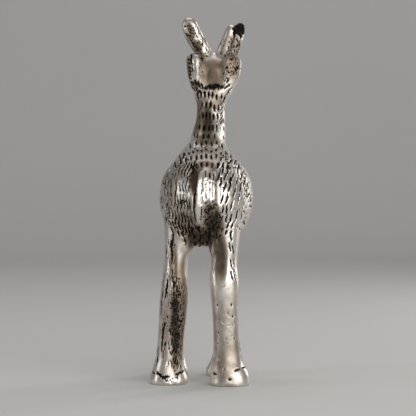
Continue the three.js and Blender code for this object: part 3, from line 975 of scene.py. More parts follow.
@dataclass
class Head(BodyPart):
    """The skull and the muzzle.

    Attributes:
        skull: The loft of the head.
        hollows: The crevice under the skull, and the gaps beside it.
        patches: The brown skull with painted shade low in its middle, and painted shade in the crevice under
            it.
    """

    skull: Limb = Limb(
        (
            (1.4, 6.4, 84.4, 3.8, 4.4),
            (1.4, 11.5, 84.8, 4.7, 4.6),
            (1.4, 16.0, 84.8, 4.5, 4.3),
            (1.4, 20.5, 82.6, 3.1, 3.3),
            (1.4, 25.0, 80.4, 2.5, 2.5),
            (1.4, 28.5, 78.8, 2.3, 2.0),
        ),
        head=0.34, foot=0.14,
    )
    hollows: tuple[Hollow, ...] = (
        Hollow((1.3, 85.0), UP, (4.2, 0.8, 7.0), inward=(0, 1, -0.5), edge=1.8),
        # The black bottoms of these two hollows in the crevice are painted shade.
        Hollow((2.6, 80.8), RIGHT, (0.5, 1.0, 1.3), 0.9),
        Hollow((0.9, 80.4), (1, 0, -0.2), (0.4, 0.8, 1.3), 0.8),
        Hollow((-1.35, 88.3), (0.4, 0, -1), (0.35, 0.8, 0.7), 0.9),
    )
    patches: tuple[Patch, ...] = (
        Patch((1.3, 7, 84.5), (5.2, 6, 8.0), 0.95),
        # Painted shade: the skull darker low in its middle, and black in the crevice under it.
        Patch((1.5, 7, 83.0), (2.8, 5, 4.0), 1.5),
        Patch((1.7, 7, 80.6), (2.8, 3, 1.1), 1.0, 0.42),
        Patch((-3.0, 9, 81.0), (2.2, 4, 1.7), 1.0, 0.3),
    )

    def limbs(self) -> tuple[Limb, ...]:
        """Give the head."""
        return (self.skull,)

    def shape(self, relief: Relief, chisel: Chisel) -> None:
        """Press the hollows, and then the eyes and the nostrils.

        Args:
            relief: The surface.
            chisel: The chisel, which finds the places that are seen from behind.
        """
        super().shape(relief, chisel)
        for side in (-1, 1):
            angle = math.pi / 2 + side * (math.pi / 2 + 0.45)
            eye = self.skull.lay(angle, 0.46)
            inward = (side, -0.2, -0.4) if eye.x < 0 else (-1, -0.2, -0.4)
            spot = (eye.x / HUNDREDTH, eye.z / HUNDREDTH)
            relief.press(eye, Hollow(spot, AHEAD, (0.75, 0.35, 1.1), 0.75, inward))
            relief.press(eye, Hollow(spot, AHEAD, (0.35, -0.3, 0.5), 0.0, inward))
            nostril = self.skull.lay(angle - side * 0.2, 0.93)
            spot = (nostril.x / HUNDREDTH, nostril.z / HUNDREDTH)
            relief.press(nostril, Hollow(spot, AHEAD, (0.3, 0.35, 0.4), 0.9, (-side, -0.6, -0.3)))

    def cut(self, chisel: Chisel) -> None:
        """Cut the dark hatching at both ends of the crevice, the mouth and the fur of the cheeks.

        Args:
            chisel: Lays the marks.
        """
        for x, z, lean, long in (
            (-3.3, 82.4, 0.5, 1.7), (-2.5, 82.0, 0.6, 1.9), (-1.6, 81.4, 0.5, 1.5),
            (-3.0, 80.2, 0.2, 1.2), (-0.4, 80.6, 0.3, 0.9), (-2.1, 79.6, 0.2, 1.0),
            (-0.9, 79.3, 0.1, 0.8), (4.1, 80.9, 0.3, 0.8),
        ):
            chisel.seen((x, z), (x + lean, z - long), width=0.95, depth=1.5)
        for x, z, end in ((6.5, 81.1, (4.7, 79.9)), (6.2, 82.7, (5.4, 81.6)), (7.0, 80.2, (5.8, 79.0))):
            chisel.seen((x, z), end, width=0.85, depth=1.4)
        for i in range(5):
            chisel.seen((6.6 - 0.35 * i, 79.6 - 0.55 * i), (5.8 - 0.35 * i, 79.1 - 0.55 * i),
                        width=0.5, depth=0.5)
        for i in range(8):
            x, low = -0.5 + 0.62 * i, 79.7 + 0.2 * uneven(i, 2)
            chisel.seen((x, 80.7), (x + 0.1 * uneven(i, 1), low), width=0.5, depth=0.9)
        for x, z in ((-3.0, 84.9), (-2.2, 82.9), (-1.4, 85.2)):
            chisel.seen((x, z), (x + 0.1, z - 0.8), width=0.4, depth=0.4, stain=0.6)
        for side in (0, 1):
            for row in range(5):
                for k in range(4):
                    low = -0.35 + 0.3 * k
                    angle = math.pi - low if side else low
                    start, end = 0.5 + 0.07 * row + 0.02 * (k % 2), 0.535 + 0.07 * row
                    chisel.round(self.skull, (angle, start), (angle, end), width=0.75, depth=0.8)
            corner = math.pi + 0.12 if side else -0.12
            lip = corner + (0.1 if side else -0.1)
            chisel.round(self.skull, (corner, 0.8), (lip, 0.95), width=0.8, depth=1.2)


@dataclass
class Antlers(BodyPart):
    """The stumps of the antlers: one broad at the left, two grown together at the right.

    Attributes:
        left: The left stump.
        inner: The right stump's inner prong.
        outer: The right stump's outer prong, which is broken off.
        hollows: The scoop of the left stump, the pocket behind the left ear and the broken tip.
        patches: The brown scoop and right stump, painted shade in the pocket, painted highlights on the rim,
            and the black broken tip.
    """

    left: Limb = Limb(
        (
            (0.9, 12.6, 86.5, 2.0, 2.2),
            (-1.4, 12.2, 91.0, 1.9, 2.4),
            (-3.4, 11.8, 94.3, 1.8, 2.4),
            (-4.7, 11.4, 97.3, 1.8, 2.3),
            (-5.6, 11.0, 99.9, 1.7, 2.0),
        ),
        across=(0.0, 1.0, 0.0), foot=0.24, rows=40, segments=32,
    )
    inner: Limb = Limb(
        (
            (3.0, 12.6, 86.5, 1.8, 1.8),
            (4.6, 12.2, 91.0, 1.8, 1.8),
            (6.1, 11.7, 94.4, 1.7, 1.7),
            (7.1, 11.2, 98.0, 1.5, 1.3),
        ),
        across=(0.0, 1.0, 0.0), foot=0.24, rows=40, segments=32,
    )
    outer: Limb = Limb(
        (
            (4.9, 11.8, 85.0, 2.0, 2.0),
            (7.3, 11.6, 91.0, 1.7, 1.8),
            (8.5, 11.3, 94.4, 1.6, 1.7),
            (9.6, 11.0, 98.5, 1.5, 1.6),
        ),
        across=(0.0, 1.0, 0.0), foot=0.24, rows=40, segments=32,
    )
    hollows: tuple[Hollow, ...] = (
        Hollow((-4.9, 96.2), (-0.35, 0, 1), (1.15, 0.55, 2.5), 0.15),
        # The pocket's dark bottom is painted shade, at the foot of the scoop.
        Hollow((-4.0, 92.7), (1, 0, -1.6), (0.5, 0.5, 0.8), 0.5),
        Hollow((-3.4, 91.7), (1, 0, -0.9), (0.5, 0.7, 1.2), 0.5),
        Hollow((-2.6, 91.0), (1, 0, -0.3), (0.4, 0.6, 0.7), 0.5),
        Hollow((9.7, 97.2), (0.3, 0, 1), (0.8, 0.9, 1.0), 0.6),
        Hollow((9.2, 96.2), (0.3, 0, 1), (0.7, 0.9, 0.9), 0.6),
        Hollow((10.0, 95.6), (0.3, 0, 1), (0.55, 0.7, 0.8), 0.6),
        Hollow((8.6, 97.4), (0.3, 0, 1), (0.4, 0.5, 0.6), 0.6),
        Hollow((8.75, 98.2), (0.3, 0, 1), (0.3, -0.3, 0.5)),
        Hollow((9.9, 94.9), (0.3, 0, 1), (0.3, -0.3, 0.5)),
    )
    patches: tuple[Patch, ...] = (
        Patch((-4.9, 9, 95.6), (1.7, 3, 4.0), 1.05, 0.08),
        Patch((-1.2, 9.5, 92.0), (2.6, 4, 5.0), 0.95),
        Patch((-3.6, 9.5, 94.5), (4.0, 5, 6.5), 0.6),
        # Painted shade in the pocket behind the left ear.
        Patch((-2.9, 9.5, 91.5), (2.4, 3, 3.0), 1.3, 0.3),
        # Painted highlights along the rim.
        Patch((-2.9, 9.5, 97.4), (1.0, 5, 2.2), -0.9),
        Patch((-1.5, 9.5, 94.4), (1.0, 5, 2.2), -0.9),
        Patch((-0.4, 9.5, 91.6), (1.0, 5, 2.2), -0.9),
        Patch((6.4, 10, 90.5), (3.8, 6, 7.5), 0.5),
        Patch((7.6, 10, 91.5), (2.4, 4, 5.5), 0.75, 0.08),
        Patch((9.4, 10, 96.8), (1.7, 3.2, 2.3), 1.5, 0.56),
        Patch((8.1, 10, 96.6), (1.0, 3.2, 1.9), 1.5, 0.5),
    )

    def limbs(self) -> tuple[Limb, ...]:
        """Give the three stumps."""
        return (self.left, self.inner, self.outer)

    def cut(self, chisel: Chisel) -> None:
        """Cut the notches of the rims, the ridges in the scoop and the groove between the prongs.

        Args:
            chisel: Lays the marks.
        """
        for i in range(4):
            chisel.seen((-5.7 + 0.3 * i, 97.4 - 0.9 * i), (-4.4 + 0.3 * i, 97.0 - 0.9 * i),
                        width=0.55, depth=0.7, stain=0.7)
        chisel.seen((-6.3, 97.4), (-5.8, 97.2), width=0.9, depth=1.3)
        chisel.seen((-6.2, 95.4), (-4.9, 94.7), width=0.9, depth=1.6)
        chisel.seen((7.2, 97.2), (7.65, 95.6), (7.3, 93.8), width=1.0, depth=1.7)
        chisel.seen((7.0, 93.4), (6.6, 91.4), width=0.6, depth=0.8, stain=0.8)
        chisel.seen((8.3, 98.6), (8.1, 97.4), width=0.6, depth=0.9)
        chisel.pits(26, (7.2, 91.6), (1.7, 3.2), length=0.4, lean=0.25, width=0.5, depth=0.7, stain=0.9)
        chisel.pits(14, (8.9, 93.4), (0.8, 1.8), length=0.4, lean=0.2, width=0.5, depth=0.7, stain=0.9)
        chisel.pits(16, (4.6, 91.4), (1.5, 2.6), length=0.4, lean=0.2, width=0.4, depth=0.5, stain=0.8)
        chisel.pits(26, (-1.2, 91.4), (1.7, 3.2), length=0.4, lean=0.25, width=0.5, depth=0.6, stain=0.85)
        for i in range(11):
            x, z = -3.6 + 0.34 * i + 0.2 * uneven(i, 5), 97.6 - 0.75 * i + 0.3 * uneven(i, 1)
            size = uneven(i, 2)
            chisel.seen((x, z), (x - 0.35, z - 0.5 - 0.2 * size), width=0.42 + 0.12 * size, depth=0.6)
        for i in range(3):
            x = -3.9 + 0.5 * i
            chisel.grain((x, 97.8), (x + 1.6, 94.6), (x + 3.4, 90.4), dash=1.6, gap=0.9,
                         width=0.4, depth=0.4, stain=0.55)
        for x, z, lean in (
            (8.3, 97.6, 0.6), (10.5, 98.0, -0.1), (9.3, 95.2, 0.3), (10.3, 95.2, -0.2), (8.4, 96.2, 0.5),
        ):
            chisel.seen((x, z), (x + lean, z - 1.3), width=1.2, depth=1.6)
        chisel.pits(12, (-4.9, 94.6), (0.9, 1.7), length=0.4, lean=0.2, width=0.5, depth=0.7, stain=0.9)
        for limb in self.limbs():
            for k in range(6):
                for row in range(3):
                    angle = -0.9 + 0.42 * k + 0.15 * uneven(k, row)
                    start, end = 0.3 + 0.17 * row, 0.4 + 0.17 * row
                    chisel.round(limb, (angle, start), (angle, end), width=0.7, depth=0.7)


@dataclass
class Ears(BodyPart):
    """The ears: the left one folded, the right one open as a cup.

    Attributes:
        left: The left ear.
        right: The right ear.
        hollows: The left ear's fold and lobe, and the right ear's cup.
        patches: The right ear's brown cup and the left ear's brown edge.
    """

    left: Limb = Limb(
        (
            (0.0, 10.2, 76.8, 2.4, 2.4),
            (-1.7, 9.6, 81.0, 2.8, 2.4),
            (-2.9, 9.2, 85.2, 2.6, 2.0),
            (-3.6, 9.2, 89.9, 2.3, 1.7),
        ),
        square=2.3, foot=0.12, rows=40, segments=32,
    )
    right: Limb = Limb(
        (
            (2.8, 10.2, 76.8, 2.5, 2.4),
            (4.9, 9.6, 80.8, 2.9, 2.4),
            (6.4, 9.2, 84.6, 2.9, 2.1),
            (7.2, 9.2, 89.2, 2.6, 1.8),
        ),
        square=2.3, foot=0.12, rows=40, segments=32,
    )
    hollows: tuple[Hollow, ...] = (
        Hollow((-4.3, 88.9), DOWN, (0.4, 0.9, 1.1), 0.9),
        Hollow((-4.4, 87.4), (0.3, 0, -1), (0.35, 0.7, 1.0), 0.6),
        Hollow((-2.6, 86.4), DOWN, (1.2, -0.35, 3.0)),
        Hollow((7.1, 86.3), (0.1, 0, -1), (1.6, 0.6, 2.9), 0.1),
    )
    patches: tuple[Patch, ...] = (
        Patch((7.0, 8, 86.2), (2.8, 4, 4.8), 1.0, 0.06),
        Patch((-5.0, 8, 85.5), (1.3, 4, 5.0), 0.9, 0.14),
    )

    def limbs(self) -> tuple[Limb, ...]:
        """Give both ears."""
        return (self.left, self.right)

    def cut(self, chisel: Chisel) -> None:
        """Cut the left ear's ragged edge, the right ear's lip and the grains in its cup.

        Args:
            chisel: Lays the marks.
        """
        for i in range(7):
            x, z = -5.4 + 0.1 * i + 0.12 * uneven(i, 3), 88.6 - 1.15 * i + 0.3 * uneven(i, 1)
            end = (x + 0.6 + 0.2 * uneven(i, 2), z - 0.4)
            chisel.seen((x, z), end, width=0.7 + 0.2 * uneven(i, 4), depth=1.1, stain=0.85)
        chisel.pits(30, (-4.2, 84.0), (1.2, 3.6), length=0.5, lean=0.25, width=0.5, depth=0.6, stain=0.85)
        for i in range(5):
            x = -3.4 + 0.45 * i
            chisel.grain((x, 88.6 - 0.5 * i), (x + 0.5, 85.4), (x + 1.3, 82.2), dash=1.6, gap=0.8,
                         width=0.45, depth=0.4, stain=0.5)
        chisel.seen((6.1, 89.0), (7.2, 89.15), (8.2, 88.9), width=0.7, depth=1.0)
        chisel.pits(44, (7.0, 86.0), (1.8, 3.0), length=0.4, lean=0.25, width=0.5, depth=0.8, stain=0.9)
        chisel.pits(16, (5.0, 83.6), (1.2, 2.4), length=0.4, lean=0.2, width=0.45, depth=0.6, stain=0.8)
        chisel.pits(10, (9.0, 84.6), (0.5, 2.4), length=0.4, lean=0.2, width=0.5, depth=0.7, stain=0.9)


@dataclass
class Legs(BodyPart):
    """The four legs and their hooves.

    Attributes:
        hind_left: The left hind leg, which is set out.
        hind_right: The right hind leg.
        fore_left: The left fore leg.
        fore_right: The right fore leg.
        hollows: The back of the right thigh, the arch's corners, the left shank and the right thigh's seam.
        patches: Painted shade and rough patina down the left shank's hollow, and the brown back of the right
            thigh.
    """

    hind_left: Limb = Limb(
        (
            (-5.0, -8.0, 55, 3.5, 4.5),
            (-6.8, -8.9, 46, 4.6, 6.2),
            (-7.9, -9.6, 37, 3.5, 5.0),
            (-8.5, -10.4, 32, 3.0, 4.1),
            (-8.6, -11.4, 26.5, 3.6, 4.1),
            (-9.1, -10.4, 20, 3.7, 3.7),
            (-9.7, -9.2, 12.5, 3.5, 3.5),
            (-10.0, -8.7, 6.6, 3.8, 3.9),
            (-10.3, -8.6, 3.6, 4.4, 4.5),
            (-10.3, -8.5, 1.6, 5.1, 5.0),
            (-10.3, -8.5, 0, 5.2, 5.1),
        ),
        square=2.3,
    )
    hind_right: Limb = Limb(
        (
            (3.5, -8.5, 55, 4.0, 5.0),
            (4.9, -9.6, 46, 4.3, 6.4),
            (4.8, -10.4, 37, 3.8, 5.4),
            (4.6, -11.2, 32, 3.5, 4.3),
            (4.6, -12.2, 28, 3.9, 4.1),
            (4.9, -12.0, 21, 3.6, 3.7),
            (5.2, -11.6, 13.5, 3.4, 3.6),
            (5.5, -11.3, 7.3, 3.8, 3.9),
            (5.5, -11.3, 4.6, 4.7, 4.7),
            (6.1, -11.3, 1.8, 5.3, 5.2),
            (6.1, -11.3, 0, 5.4, 5.3),
        ),
        square=2.3,
    )
    fore_left: Limb = Limb(
        (
            (-4.5, 8.5, 53, 4.0, 5.0),
            (-6.0, 9.4, 45, 4.5, 5.4),
            (-7.9, 9.8, 38, 3.6, 4.4),
            (-8.5, 10.2, 31, 3.2, 3.8),
            (-8.7, 10.6, 25, 3.5, 3.8),
            (-8.7, 10.2, 19, 3.3, 3.5),
            (-9.4, 9.9, 12, 3.2, 3.4),
            (-9.9, 9.7, 6.6, 3.7, 3.8),
            (-10.1, 9.7, 3.6, 4.4, 4.5),
            (-10.2, 9.7, 1.6, 5.0, 5.0),
            (-10.2, 9.7, 0, 5.1, 5.1),
        ),
        square=2.3,
    )
    fore_right: Limb = Limb(
        (
            (3.4, 8.5, 53, 4.0, 5.0),
            (4.6, 9.4, 45, 4.4, 5.4),
            (4.9, 9.8, 38, 3.6, 4.4),
            (4.8, 10.2, 31, 3.3, 3.8),
            (4.7, 10.6, 25, 3.4, 3.8),
            (4.8, 10.2, 19, 3.2, 3.5),
            (4.9, 9.9, 12, 3.2, 3.4),
            (5.0, 9.7, 6.6, 3.3, 3.8),
            (4.9, 9.7, 3.6, 4.0, 4.5),
            (4.8, 9.7, 1.6, 5.0, 5.0),
            (4.8, 9.7, 0, 5.1, 5.1),
        ),
        square=2.3,
    )
    hollows: tuple[Hollow, ...] = (
        Hollow((3.8, 34.4), DOWN, (2.1, 0.65, 9.0), edge=1.8),
        Hollow((-5.3, 37.6), AHEAD, (2.4, -0.9, 8.0), inward=(-1, 0, 1), edge=1.6),
        Hollow((2.0, 37.6), AHEAD, (2.4, -0.9, 8.0), inward=(1, 0, 1), edge=1.6),
        Hollow((-8.3, 17.0), (-0.1, 0, -1), (1.2, 0.45, 13.0)),
        Hollow((-8.6, 33.0), DOWN, (0.7, 0.35, 6.0)),
        Hollow((2.0, 35.5), (-0.1, 0, -1), (0.4, -0.4, 7.0)),
    )
    patches: tuple[Patch, ...] = (
        # Painted shade, with rough patina, down the left shank's hollow face.
        Patch((-8.4, -14, 15.5), (1.7, 6, 15.5), 1.6, 0.33),
        Patch((-7.2, -14, 19), (3.4, 6, 20), 0.9, 0.1),
        Patch((-11.0, -14, 14), (4.0, 6, 16), 0.5),
        # Painted shade in the hollow above the hock.
        Patch((-9.0, -14, 33), (1.2, 6, 8), 0.9, 0.06),
        Patch((3.6, -16, 34.5), (1.9, 6, 8.0), 1.5, 0.1),
        Patch((2.8, -16, 37.5), (1.4, 6, 6.0), 1.5, 0.22),
        Patch((5.2, -16, 12.0), (5.6, 9, 17.0), 0.55),
    )

    def limbs(self) -> tuple[Limb, ...]:
        """Give the four legs."""
        return (self.hind_left, self.hind_right, self.fore_left, self.fore_right)

    def left_grooves(self, chisel: Chisel) -> None:
        """Cut the left hind leg as it is seen from behind: long grooves, and the folds above the hoof.

        Args:
            chisel: Lays the marks.
        """
        chisel.seen((-9.8, 42.5), (-9.0, 40.4), (-9.5, 37.6), (-9.4, 35.4), (-9.2, 33.0),
                    width=1.25, depth=1.5)
        chisel.seen((-10.5, 28.9), (-10.8, 26.0), (-11.1, 23.6), width=1.15, depth=1.4)
        chisel.seen((-11.3, 17.0), (-11.8, 14.3), (-12.2, 9.0), width=1.1, depth=1.3)
        chisel.seen((-9.4, 32.6), (-9.1, 29.0), (-9.0, 25.5), width=0.6, depth=0.6, stain=0.7)
        chisel.seen((-13.4, 3.6), (-12.0, 2.3), (-10.2, 2.5), width=1.2, depth=1.5)
        chisel.seen((-8.3, 3.0), (-7.0, 3.3), (-6.0, 3.7), width=0.8, depth=1.1)
        chisel.seen((-5.6, 29.6), (-4.9, 30.0), width=0.8, depth=1.2)
        for x, low in ((-9.2, 6.0), (-9.7, 5.0), (-10.3, 7.0), (-10.9, 6.0), (-11.4, 12.0)):
            chisel.grain((x + 0.5, 40.0), (x + 0.4, 28.0), (x - 0.9, low), dash=3.0, gap=2.4,
                         width=0.42, depth=0.6, stain=0.65)
        for i in range(5):
            x = -8.9 + 0.62 * i
            chisel.grain((x + 0.3, 31.0 - 1.2 * i), (x, 18.0), (x - 0.7, 4.5), dash=1.6, gap=0.6,
                         width=0.5, depth=0.6, stain=0.9)
        chisel.pits(120, (-8.0, 16.0), (1.9, 13.5), length=0.5, lean=0.12, width=0.38, depth=0.65, stain=0.9)
        chisel.pits(26, (-9.9, 2.2), (3.6, 1.4), length=0.3, lean=0.3, width=0.4, depth=0.5, stain=0.85)
        chisel.pits(34, (-6.4, 23.0), (1.2, 8.0), length=0.4, lean=0.15, width=0.36, depth=0.5, stain=0.7)

    def right_marks(self, chisel: Chisel) -> None:
        """Cut the right hind leg as it is seen from behind: paired strokes, a ledge and a few pits.

        Args:
            chisel: Lays the marks.
        """
        for x, z in (
            (6.3, 34.0), (7.05, 34.0), (6.5, 30.8), (7.4, 30.3), (6.2, 41.2), (6.9, 37.6), (5.9, 38.4),
        ):
            chisel.seen((x, z), (x + 0.15, z - 1.1), (x + 0.45, z - 2.3), width=0.8, depth=1.1)
        chisel.seen((2.6, 26.9), (4.0, 26.7), (5.0, 27.2), width=0.7, depth=0.5, stain=0.35)
        chisel.seen((1.25, 38.6), (1.5, 35.0), (1.75, 30.0), width=0.6, depth=0.8, stain=0.8)
        chisel.pits(22, (4.6, 14.0), (2.8, 10.0), length=0.35, lean=0.2, width=0.4, depth=0.5, stain=0.55)
        spots = (2.8, 22.1), (6.6, 22.2), (6.8, 19.0), (3.0, 14.6), (7.4, 13.0), (2.9, 11.6), (5.4, 11.6)
        for i, (x, z) in enumerate(spots):
            chisel.seen((x, z), (x + 0.05, z - 0.5 - 0.3 * uneven(i, 0)), width=0.75, depth=0.6, stain=0.7)
        chisel.seen((5.6, 2.1), (6.4, 2.0), width=1.2, depth=1.0, stain=0.9)
        chisel.seen((1.6, 3.5), (2.4, 3.2), width=0.8, depth=1.0)

    def sides(self, chisel: Chisel) -> None:
        """Cut long grooves down the outer sides of the legs and the fold above each hoof.

        Args:
            chisel: Lays the marks.
        """
        for limb, outward, plain in (
            (self.hind_left, -1, 0.55), (self.hind_right, 1, 0.55),
            (self.fore_left, -1, 2.0), (self.fore_right, 1, 2.0),
        ):
            middle = 0.0 if outward > 0 else math.pi
            for i in range(8):
                turn = -1.3 + 0.38 * i
                if outward * turn > plain:
                    continue
                for part in range(5):
                    top = 0.2 + 0.13 * part + 0.045 * uneven(i, part + outward)
                    size = 0.8 + 0.2 * uneven(i + 3, part)
                    start, end = (middle + turn, top), (middle + turn, top + 0.07 + 0.02 * uneven(part, i))
                    chisel.round(limb, start, end, width=size, depth=size, wave=0.05)
            for k in range(5):
                angle = middle - 1.2 + 0.5 * k
                end = 0.822 + 0.008 * uneven(k, 1)
                chisel.round(limb, (angle, 0.82), (angle + 0.42, end), width=0.8, depth=0.9)

    def cut(self, chisel: Chisel) -> None:
        """Lay all of the legs' marks.

        Args:
            chisel: Lays the marks.
        """
        self.left_grooves(chisel)
        self.right_marks(chisel)
        self.sides(chisel)


class Nodes:
    """A short hand for building a node tree."""

    def __init__(self, tree: bpy.types.NodeTree) -> None:
        """Hold the tree."""
        self.tree = tree

    def add(self, kind: str) -> bpy.types.Node:
        """Add a node."""
        return self.tree.nodes.new(kind)

    def link(self, source: object, target: Socket) -> None:
        """Feed a socket, a number or a colour into a socket.

        Args:
            source: What is fed in.
            target: The socket that takes it.
        """
        if isinstance(source, Socket):
            self.tree.links.new(source, target)
        elif isinstance(source, tuple):
            target.default_value = (*source, 1.0)
        else:
            target.default_value = source

    def attribute(self, name: str) -> Socket:
        """Read one of the mesh's own values.

        Args:
            name: The value's name.

        Returns:
            The value.
        """
        node = self.add("ShaderNodeAttribute")
        node.attribute_name = name
        return node.outputs["Fac"]

    def noise(self, place: Socket, scale: float, detail: float, roughness: float) -> Socket:
        """Add a noise.

        Args:
            place: Where it is read.
            scale: Its grains in a metre.
            detail: How many finer layers it has.
            roughness: How strong they are.

        Returns:
            The noise, from 0 to 1.
        """
        node = self.add("ShaderNodeTexNoise")
        self.link(place, node.inputs["Vector"])
        node.inputs["Scale"].default_value = scale
        node.inputs["Detail"].default_value = detail
        node.inputs["Roughness"].default_value = roughness
        return node.outputs["Fac"]

    def maths(self, operation: str, first: object, second: object) -> Socket:
        """Add one sum.

        Args:
            operation: Its kind.
            first: Its first value.
            second: Its second value.

        Returns:
            Its result.
        """
        node = self.add("ShaderNodeMath")
        node.operation = operation
        self.link(first, node.inputs[0])
        self.link(second, node.inputs[1])
        return node.outputs[0]

    def swing(self, value: Socket, share: float) -> Socket:
        """Centre a noise on 0 and scale it."""
        return self.maths("MULTIPLY", self.maths("SUBTRACT", value, 0.5), share)

    def step(self, value: object, low: float, high: float) -> Socket:
        """Stretch a value smoothly between two limits.

        Args:
            value: The value.
            low: What becomes 0.
            high: What becomes 1.

        Returns:
            The stretched value.
        """
        node = self.add("ShaderNodeMapRange")
        node.interpolation_type = "SMOOTHSTEP"
        self.link(value, node.inputs["Value"])
        node.inputs["From Min"].default_value = low
        node.inputs["From Max"].default_value = high
        return node.outputs["Result"]

    def mix(self, factor: object, first: object, second: object) -> Socket:
        """Blend two numbers or two colours.

        Args:
            factor: The share of the second.
            first: The first.
            second: The second.

        Returns:
            The blend.
        """
        node = self.add("ShaderNodeMix")
        sockets = (0, 2, 3, 0)
        if isinstance(second, tuple):
            node.data_type = "RGBA"
            sockets = (0, 6, 7, 2)
        self.link(factor, node.inputs[sockets[0]])
        self.link(first, node.inputs[sockets[1]])
        self.link(second, node.inputs[sockets[2]])
        return node.outputs[sockets[3]]


@dataclass(frozen=True)
class CastAluminium:
    """Cast aluminium, polished on the high places, brown where tarnished and in painted shade, black in the
    marks.

    Attributes:
        polish: Colour of the clean metal.
        brown: Colour of the tarnished metal and of painted shade.
        umber: Colour of the darkest tarnishing and painted shade, mostly in recesses.
        patina: Colour of the rough patina.
        gloss: Roughness of the clean metal.
        satin: Roughness of the tarnished metal.
        matt: Roughness of the patina.
    """

    polish: Point = (0.80, 0.76, 0.705)
    brown: Point = (0.27, 0.215, 0.165)
    umber: Point = (0.085, 0.065, 0.048)
    patina: Point = (0.008, 0.006, 0.005)
    gloss: float = 0.32
    satin: float = 0.52
    matt: float = 0.7

    def build(self, name: str) -> bpy.types.Material:
        """Make the material's nodes.

        Args:
            name: The material's name.

        Returns:
            The material.
        """
        material = bpy.data.materials.new(name)
        material.use_nodes = True
        tree = material.node_tree
        nodes = Nodes(tree)
        place = nodes.add("ShaderNodeTexCoord").outputs["Object"]
        stain, tarnish_and_painted_light = nodes.attribute("stain"), nodes.attribute("tarnish_and_painted_light")
        grit = nodes.noise(place, scale=900, detail=4, roughness=0.7)
        cloud = nodes.noise(place, scale=95, detail=4, roughness=0.6)
        scuff = nodes.noise(place, scale=1500, detail=2, roughness=0.6)
        broken = nodes.maths("ADD", stain, nodes.swing(grit, 0.95))
        black = nodes.step(broken, 0.24, 0.5)
        worn = nodes.maths("ADD", nodes.swing(cloud, 0.9), nodes.swing(scuff, 0.35))
        # The patches' value is tarnishing and painted shade above 0, and mostly painted highlight below 0.
        dulling_and_painted_light = nodes.maths("ADD", tarnish_and_painted_light, worn)
        browned = nodes.step(dulling_and_painted_light, -0.15, 0.95)
        specks = nodes.maths("MULTIPLY", nodes.step(scuff, 0.56, 0.68), 0.55)
        metal = nodes.mix(nodes.maths("MAXIMUM", browned, specks), self.polish, self.brown)
        metal = nodes.mix(nodes.step(dulling_and_painted_light, 0.8, 1.7), metal, self.umber)
        colour = nodes.mix(black, metal, self.patina)
        rough = nodes.mix(browned, self.gloss, self.satin)
        rough = nodes.mix(black, nodes.maths("ADD", rough, nodes.swing(scuff, 0.12)), self.matt)
        relief = nodes.maths("ADD", grit, nodes.maths("MULTIPLY", scuff, 0.3))
        bump = nodes.add("ShaderNodeBump")
        bump.inputs["Distance"].default_value = 0.0003
        nodes.link(nodes.mix(nodes.step(broken, 0.1, 0.6), 0.16, 0.8), bump.inputs["Strength"])
        nodes.link(relief, bump.inputs["Height"])
        shader = tree.nodes["Principled BSDF"]
        nodes.link(colour, shader.inputs["Base Color"])
        nodes.link(rough, shader.inputs["Roughness"])
        nodes.link(nodes.mix(black, 1.0, 0.0), shader.inputs["Metallic"])
        nodes.link(nodes.mix(black, 0.5, 0.12), shader.inputs["Specular IOR Level"])
        nodes.link(bump.outputs["Normal"], shader.inputs["Normal"])
        return material


